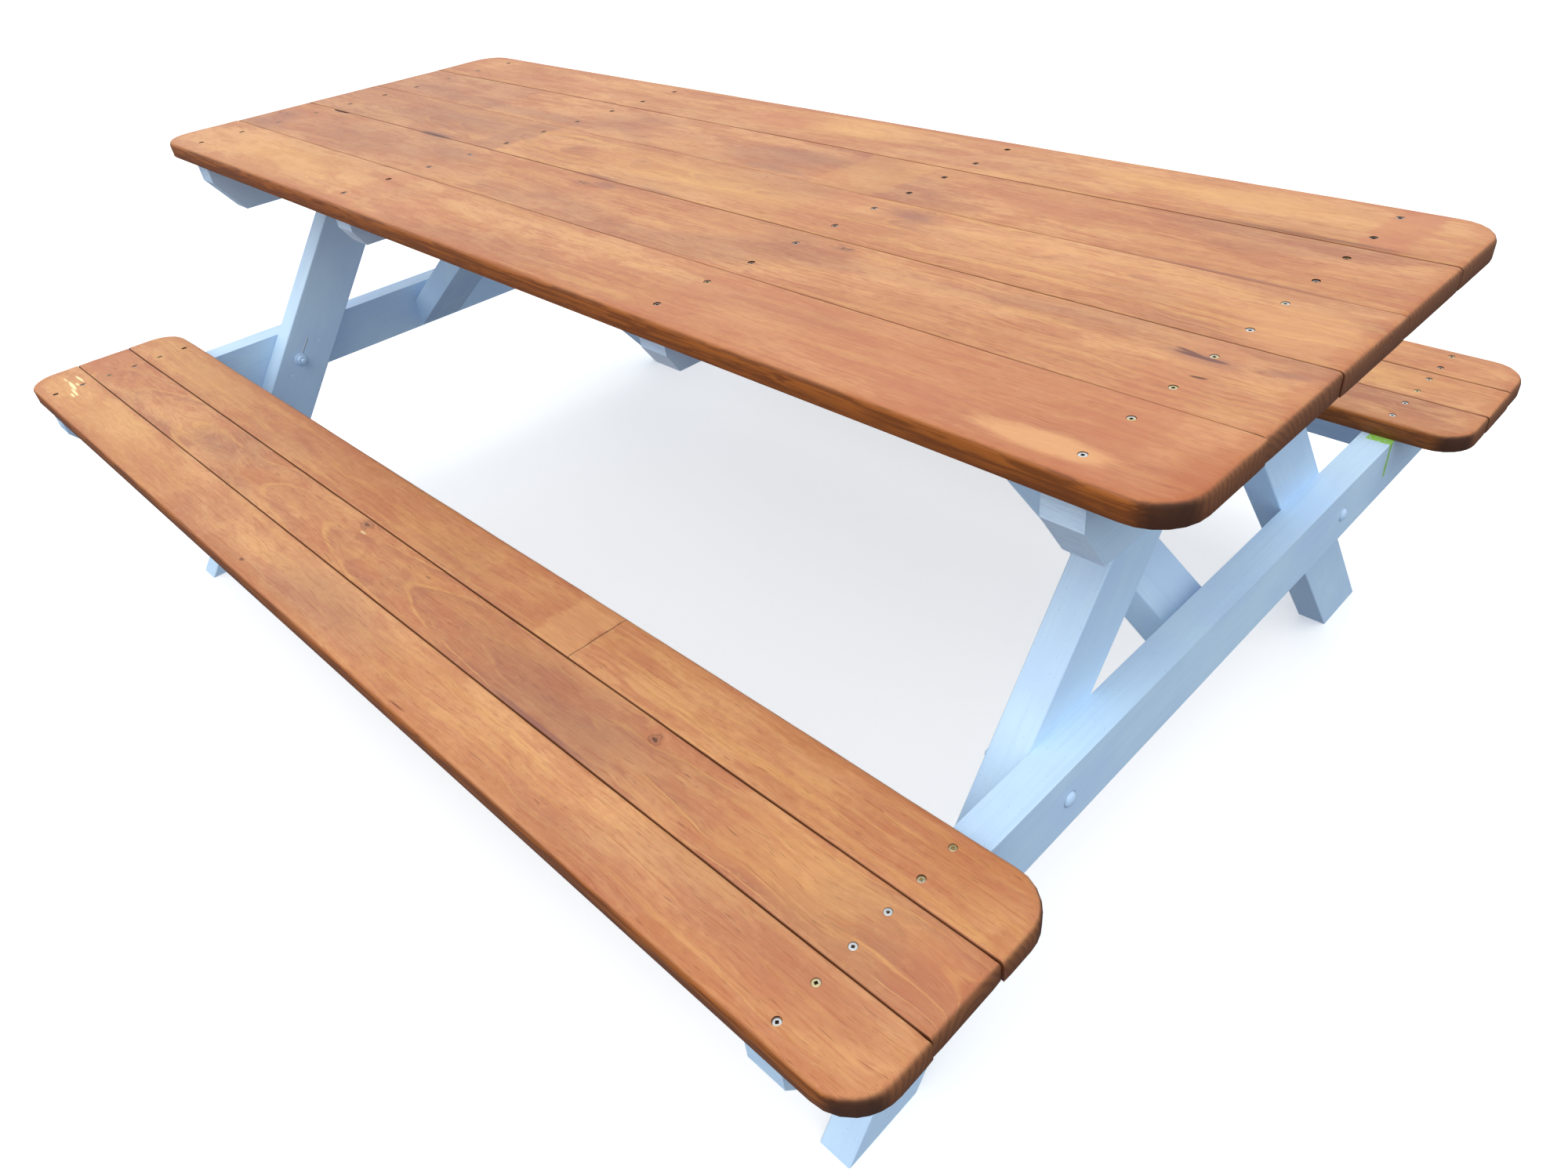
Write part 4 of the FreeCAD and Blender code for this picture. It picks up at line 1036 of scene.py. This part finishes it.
# ---- the boards' own looks
# tone, figure and marks of every board; places are shares of its half length and width
LOOKS = {
    "table_board_1": Look(
        1, coat=TOP_COAT, pink=0.45, yellow=0.40, purple=0.15, light=0.50, pith=(0.30, -0.02),
        laps=[Lap(-0.38, -0.31, PINK, 0.35), Lap(0.34, 1.10, PINK, 0.30, 0.4),
            Lap(0.87, 0.93, PINK, 0.35)],
        patches=[Patch(-0.66, 0.1, 0.32, 1.2, YELLOW, 0.45, 0.9),
            Patch(0.72, -0.55, 0.05, 0.45, PINK, 0.50, 0.3, 0.8),
            Patch(0.86, -0.55, 0.08, 0.26, PALE, 0.75, 0.4, 0.5, 2),
            Patch(0.99, -0.20, 0.04, 0.90, RUST, 0.55, 0.7, 0.6),
            Patch(-0.20, -0.3, 0.10, 0.60, PINK, 0.35, 0.9)]),
    "table_board_2": Look(
        2, coat=TOP_COAT, pink=0.40, yellow=0.35, purple=0.30, light=0.40, rings=0.20,
        pith=(-0.12, -0.05), tilt=(0.03, 0.0), trims=(0.6 * MM, 1.2 * MM), lower=0.2 * MM,
        nicks=[(-0.887, -0.828, 4.6 * MM)],
        knots=[Knot(-0.07, 0.60, 12, dark=0.45), Knot(0.425, 0.72, 9, dark=0.70),
            Knot(0.940, 0.45, 16, dark=0.15), Knot(-0.95, 0.10, 22, dark=0.25)],
        laps=[Lap(0.86, 0.92, PINK, 0.25)],
        patches=[Patch(-0.60, 0.0, 0.34, 1.3, PURPLE, 0.36, 0.9),
            Patch(-0.93, -0.30, 0.07, 0.80, PURPLE, 0.50, 0.8),
            Patch(-0.035, 0.75, 0.03, 0.22, PURPLE, 0.60, 0.7, 0.8),
            # painted shade: a crack beside the knot, drawn as black colour
            Patch(0.885, 0.41, 0.022, 0.040, STAIN_BLACK_AND_CRACK_SHADE, 0.95, 0.5, 1.4),
            Patch(0.875, 0.47, 0.018, 0.040, STAIN_BLACK_AND_CRACK_SHADE, 0.80, 0.5, 1.4, -12),
            Patch(0.885, 0.41, 0.040, 0.160, PURPLE, 0.50, 0.9, 1.0),
            # painted shade: a second small crack, drawn as dark colour
            Patch(0.905, -0.12, 0.010, 0.030, STAIN_END_AND_CRACK_SHADE, 0.9, 0.4, 0.5, 8),
            Patch(0.965, 0.55, 0.03, 0.14, PURPLE, 0.60, 0.9, 0.8, 14),
            # painted shade: the void in the nicked joint edge, drawn as black colour
            Patch(-0.857, 0.99, 0.030, 0.090, STAIN_BLACK_AND_CRACK_SHADE, 0.95, 0.20, 0.1),
            Patch(-0.525, 0.97, 0.060, 0.040, STAIN_BLACK_AND_CRACK_SHADE, 0.60, 0.6, 0.8)]),
    "table_board_3": Look(
        3, coat=TOP_COAT, pink=0.30, yellow=0.60, purple=0.20, light=0.45, rings=0.24, lines=0.6,
        pith=(0.02, -0.045), tilt=(0.02, 0.05), spacing=0.006, trims=(0.4 * MM, 0.0), ripple=0.034,
        knots=[Knot(-0.235, 0.05, 18, dark=0.12, stretch=2.4),
            Knot(-0.070, 0.10, 15, dark=0.20, stretch=1.6),
            Knot(0.436, 0.80, 14, dark=0.25, stretch=2.0),
            Knot(0.60, 0.40, 16, dark=0.0, stretch=3.0)],
        laps=[Lap(-1.10, -0.35, PURPLE, 0.22), Lap(-0.42, -0.35, PURPLE, 0.20),
            Lap(0.27, 0.34, PINK, 0.25)],
        patches=[Patch(0.425, 0.55, 0.050, 0.34, PURPLE, 0.75, 0.9, 1.0, -3),
            Patch(0.06, 0.0, 0.28, 0.90, YELLOW, 0.35, 0.9),
            Patch(-0.60, 0.10, 0.20, 0.80, PURPLE, 0.26, 0.9),
            Patch(-0.53, -0.93, 0.075, 0.100, PURPLE, 0.75, 0.8, 0.8),
            Patch(-0.525, -0.98, 0.055, 0.030, STAIN_BLACK_AND_CRACK_SHADE, 0.60, 0.6, 0.6),
            Patch(-0.07, -0.95, 0.050, 0.070, PURPLE, 0.70, 0.8),
            Patch(0.06, -0.95, 0.055, 0.060, PURPLE, 0.55, 0.8),
            Patch(0.93, 0.00, 0.07, 0.90, PALE, 0.45, 0.6),
            Patch(0.62, 0.55, 0.16, 0.30, PALE, 0.45, 0.8),
            Patch(-0.27, 0.55, 0.09, 0.10, STAIN_EDGE_AND_UNDER_SHADE, 0.25, 0.9, 0.9, 2)]),
    "table_board_4": Look(
        4, coat=TOP_COAT, pink=0.50, yellow=0.30, purple=0.30, light=0.30, rings=0.16,
        pith=(0.26, 0.03), trims=(1.0 * MM, 0.6 * MM), lower=0.3 * MM,
        laps=[Lap(0.215, 0.33, YELLOW, 0.25), Lap(-1.10, -0.60, PURPLE, 0.24)],
        patches=[Patch(0.09, -0.10, 0.13, 0.70, PURPLE, 0.40, 0.7),
            Patch(0.12, -0.75, 0.09, 0.20, PURPLE, 0.45, 0.8, 0.8, -2),
            Patch(-0.28, 0.0, 0.10, 0.60, PURPLE, 0.30, 0.8),
            Patch(-0.42, -0.60, 0.20, 0.40, PURPLE, 0.42, 0.9),
            Patch(0.55, 0.10, 0.10, 0.50, PINK, 0.35, 0.9),
            Patch(0.82, -0.97, 0.14, 0.045, PURPLE, 0.7, 0.8)]),
    "table_board_5": Look(
        5, coat=TOP_COAT, pink=0.40, yellow=0.50, purple=0.12, light=0.50, pith=(-0.28, -0.03),
        trims=(0.0, 0.4 * MM),
        laps=[Lap(0.885, 0.940, PINK, 0.62), Lap(0.30, 0.37, PINK, 0.18)],
        patches=[Patch(-0.04, 0.0, 0.10, 0.70, PINK, 0.50, 0.5, 0.9),
            Patch(0.10, 0.2, 0.12, 0.80, YELLOW, 0.40, 0.8),
            Patch(0.70, 0.10, 0.22, 0.60, YELLOW, 0.45, 0.9),
            Patch(-0.62, -0.2, 0.20, 0.50, PINK, 0.35, 0.9),
            Patch(-0.97, 0.3, 0.06, 0.90, RUST, 0.35, 0.9),
            Patch(0.84, -0.93, 0.16, 0.08, STAIN_END_AND_CRACK_SHADE, 0.55, 0.8, 0.6)]),
    "near_seat_board_1": Look(
        6, pink=0.42, yellow=0.45, purple=0.15, light=0.35, pith=(0.20, -0.04), seam=0.402,
        ripple=0.016,
        laps=[Lap(0.33, 0.402, PALE, 0.45), Lap(0.18, 0.33, PINK, 0.25)],
        patches=[Patch(-0.75, 0.0, 0.30, 1.4, YELLOW, 0.35, 0.9),
            Patch(0.0, 0.0, 0.25, 1.2, RUST, 0.25, 0.9), Patch(0.47, 0.20, 0.05, 0.25, PINK, 0.5, 0.8),
            Patch(0.92, 0.25, 0.06, 1.20, RUST, 0.35, 0.9)]),
    "near_seat_board_2": Look(
        7, pink=0.50, yellow=0.25, purple=0.30, light=0.25, rings=0.24, lines=0.65,
        pith=(0.01, -0.052), tilt=(0.012, 0.045), spacing=0.010, ripple=0.026,
        trims=(1.2 * MM, 2.6 * MM), lower=0.3 * MM,
        knots=[Knot(0.581, 0.62, 7, dark=0.70, rings=0.8),
            Knot(-0.045, 0.75, 8, dark=0.65, rings=0.6), Knot(-0.54, 0.0, 26, dark=0.0, stretch=2.6),
            Knot(-0.95, 0.0, 20, dark=0.0, stretch=2.0)],
        patches=[Patch(-0.97, 0.0, 0.10, 1.2, PINK, 0.50, 0.6),
            Patch(0.45, 0.0, 0.30, 1.2, PURPLE, 0.40, 0.9),
            Patch(-0.50, -0.1, 0.06, 0.6, PURPLE, 0.30, 0.9),
            Patch(0.46, -0.95, 0.10, 0.10, PURPLE, 0.90, 0.8),
            Patch(-0.032, 0.48, 0.008, 0.05, CREAM, 0.6, 0.4, 0.4),
            Patch(0.83, 0.0, 0.12, 1.1, YELLOW, 0.20, 0.9),
            Patch(0.97, 0.0, 0.05, 1.2, PINK, 0.45, 0.6)]),
    "near_seat_board_3": Look(
        8, pink=0.35, yellow=0.35, purple=0.20, light=0.50, pith=(0.30, -0.06), streaks=0.8,
        trims=(0.4 * MM, 1.4 * MM),
        patches=[Patch(-0.70, 0.0, 0.35, 1.4, YELLOW, 0.35, 0.9),
            Patch(0.07, 0.0, 0.17, 1.1, PURPLE, 0.38, 0.8),
            Patch(-0.107, -0.59, 0.006, 0.07, STAIN_END_AND_CRACK_SHADE, 0.8, 0.6, 0.4),
            Patch(0.32, -0.80, 0.018, 0.03, STAIN_END_AND_CRACK_SHADE, 0.8, 0.6, 0.9, 2),
            Patch(0.88, 0.3, 0.10, 0.9, PINK, 0.35, 0.9),
            Patch(-0.925, 0.62, 0.026, 0.06, CREAM, 0.95, 0.3, 0.7, 1),
            Patch(-0.905, 0.20, 0.024, 0.06, CREAM, 0.95, 0.3, 0.9, -3),
            Patch(-0.905, 0.38, 0.010, 0.06, CREAM, 0.80, 0.3, 0.9),
            Patch(-0.870, 0.05, 0.022, 0.05, CREAM, 0.90, 0.3, 0.9, -3),
            Patch(-0.862, -0.10, 0.012, 0.05, CREAM, 0.90, 0.3, 0.9),
            Patch(-0.945, 0.20, 0.010, 0.03, CREAM, 0.70, 0.3, 0.9)]),
    "far_seat_board_1": Look(
        9, pink=0.55, yellow=0.25, light=0.25, rings=0.2, purple=0.3, trims=(0.0, 0.8 * MM)),
    "far_seat_board_2": Look(
        10, pink=0.35, yellow=0.45, light=0.40, rings=0.2, trims=(1.0 * MM, 0.0), lower=0.2 * MM,
        patches=[Patch(0.80, 0.2, 0.12, 0.8, YELLOW, 0.4, 0.8)]),
    "far_seat_board_3": Look(
        11, pink=0.45, yellow=0.30, light=0.35, rings=0.16, trims=(0.5 * MM, 1.2 * MM)),
}


# ---- assembly
def build_boards(screws):
    board_screws = [screw for name in BOARD_SCREWS for screw in screws[name]]
    for name in TABLE_BOARDS + SEAT_BOARDS:
        low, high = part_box(name)
        rounded = ROUNDED.get(name, 0)
        joints = [0.0 if side == rounded else 1.0 for side in (-1, 1)]
        rounds = TABLE_ROUNDS if name in TABLE_BOARDS else BENCH_ROUNDS
        mesh = board_mesh(name, LOOKS[name], rounded, *rounds, board_screws)
        material = stained_wood("stained_" + name, low, high, LOOKS[name], joints)
        finish_piece("stained_" + name, mesh, material, "stained_wood", name)


def soft_timber(name, material):
    """A timber's CAD shape with its sawn edges softened by paint."""
    mesh = welded(name)
    bmesh.ops.dissolve_limit(mesh, angle_limit=math.radians(1), verts=mesh.verts, edges=mesh.edges)
    sharp = [edge for edge in mesh.edges if len(edge.link_faces) == 2
             and edge.calc_face_angle() > math.radians(30)]
    bmesh.ops.bevel(mesh, geom=sharp, offset=TIMBER_ROUND, segments=2, affect="EDGES",
                    profile=0.5, clamp_overlap=True)
    result = bpy.data.meshes.new("painted_" + name)
    mesh.to_mesh(result)
    mesh.free()
    piece = finish_piece("painted_" + name, result, material, "painted_wood", name)
    for face in piece.data.polygons:
        face.use_smooth = face.area < PLANED_FACE


def build_frame():
    leg_along = lengthwise("leg_left_near")[0]
    nuts = [solid.mean(0) for solid in solids_of("beam_nuts")]
    nut = Vector(min(nuts, key=lambda spot: spot[0] * 2 + spot[1]))
    if leg_along.z < 0:
        leg_along = -leg_along
    crack_start = nut + leg_along * 0.012
    cleat_low, cleat_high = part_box("end_cleat_right")
    hole = Vector((cleat_high.x, cleat_low.y + 0.09, cleat_high.z - 0.022))
    bolts = [seat_of(points)[0] for points in solids_of("beam_bolts")]
    # painted shade rings round the bolt heads on the seat beams
    rings = {side: [bolt_shade_ring(spot, BOLT_HEAD) for spot in bolts if spot.x * side > 0]
             for side in (-1, 1)}
    marks = {"seat_beam_right": [green_smear] + rings[1], "seat_beam_left": rings[-1],
             "leg_left_near": [crack_shade_and_highlight(leg_along, crack_start, 0.034)],
             "end_cleat_right": [nail_hole_shade(hole, 0.0014)]}
    for seed, name in enumerate(TIMBERS, 1):
        along, across, through = lengthwise(name)
        material = painted_wood("paint_" + name, along, across, through, seed,
                                marks.get(name, ()))
        soft_timber(name, material)


def rim_part(points, shape):
    """A washer or a nut in the place of its CAD solid."""
    low, high = points.min(0), points.max(0)
    middle = (low + high) / 2
    inward = -math.copysign(1.0, middle[0])
    foot = Vector((high[0] if inward < 0 else low[0], middle[1], middle[2]))
    wide = min(high[1] - low[1], high[2] - low[2])
    return placed(shape(wide, high[0] - low[0]), frame_at(foot, X_AXIS * inward, 0.4 * middle[1]))


def build_hardware(screws):
    bright = zinc("zinc")
    paint = painted_metal("paint_on_metal")
    for name in BOARD_SCREWS:
        screw_group("zinc_" + name, name, screws[name], bright, "zinc_steel", *BRIGHT_SCREW)
    for name in PAINTED_SCREWS:
        for screw in screws[name]:
            screw.extra = 0.0
        screw_group("painted_" + name, name, screws[name], paint, "painted_steel", *PAINTED_SCREW)
    for place in ("beam", "cleat"):
        bolts = []
        for points in solids_of(place + "_bolts"):
            head, out, length = seat_of(points)
            bolts.append(placed(bolt_part(BOLT_DOME, BOLT_HEAD, length), frame_at(head, out)))
        groups = {"bolts": bolts}
        for kind, shape in (("washers", washer_part), ("nuts", nut_part)):
            groups[kind] = [rim_part(points, shape) for points in solids_of(f"{place}_{kind}")]
        for kind, parts in groups.items():
            name = f"painted_{place}_{kind}"
            finish_piece(name, new_mesh(name, *joined(parts)), paint, "painted_steel",
                         f"{place}_{kind}")


make_camera()
make_studio()
all_screws = read_screws(BOARD_SCREWS + PAINTED_SCREWS)
build_boards(all_screws)
build_frame()
build_hardware(all_screws)
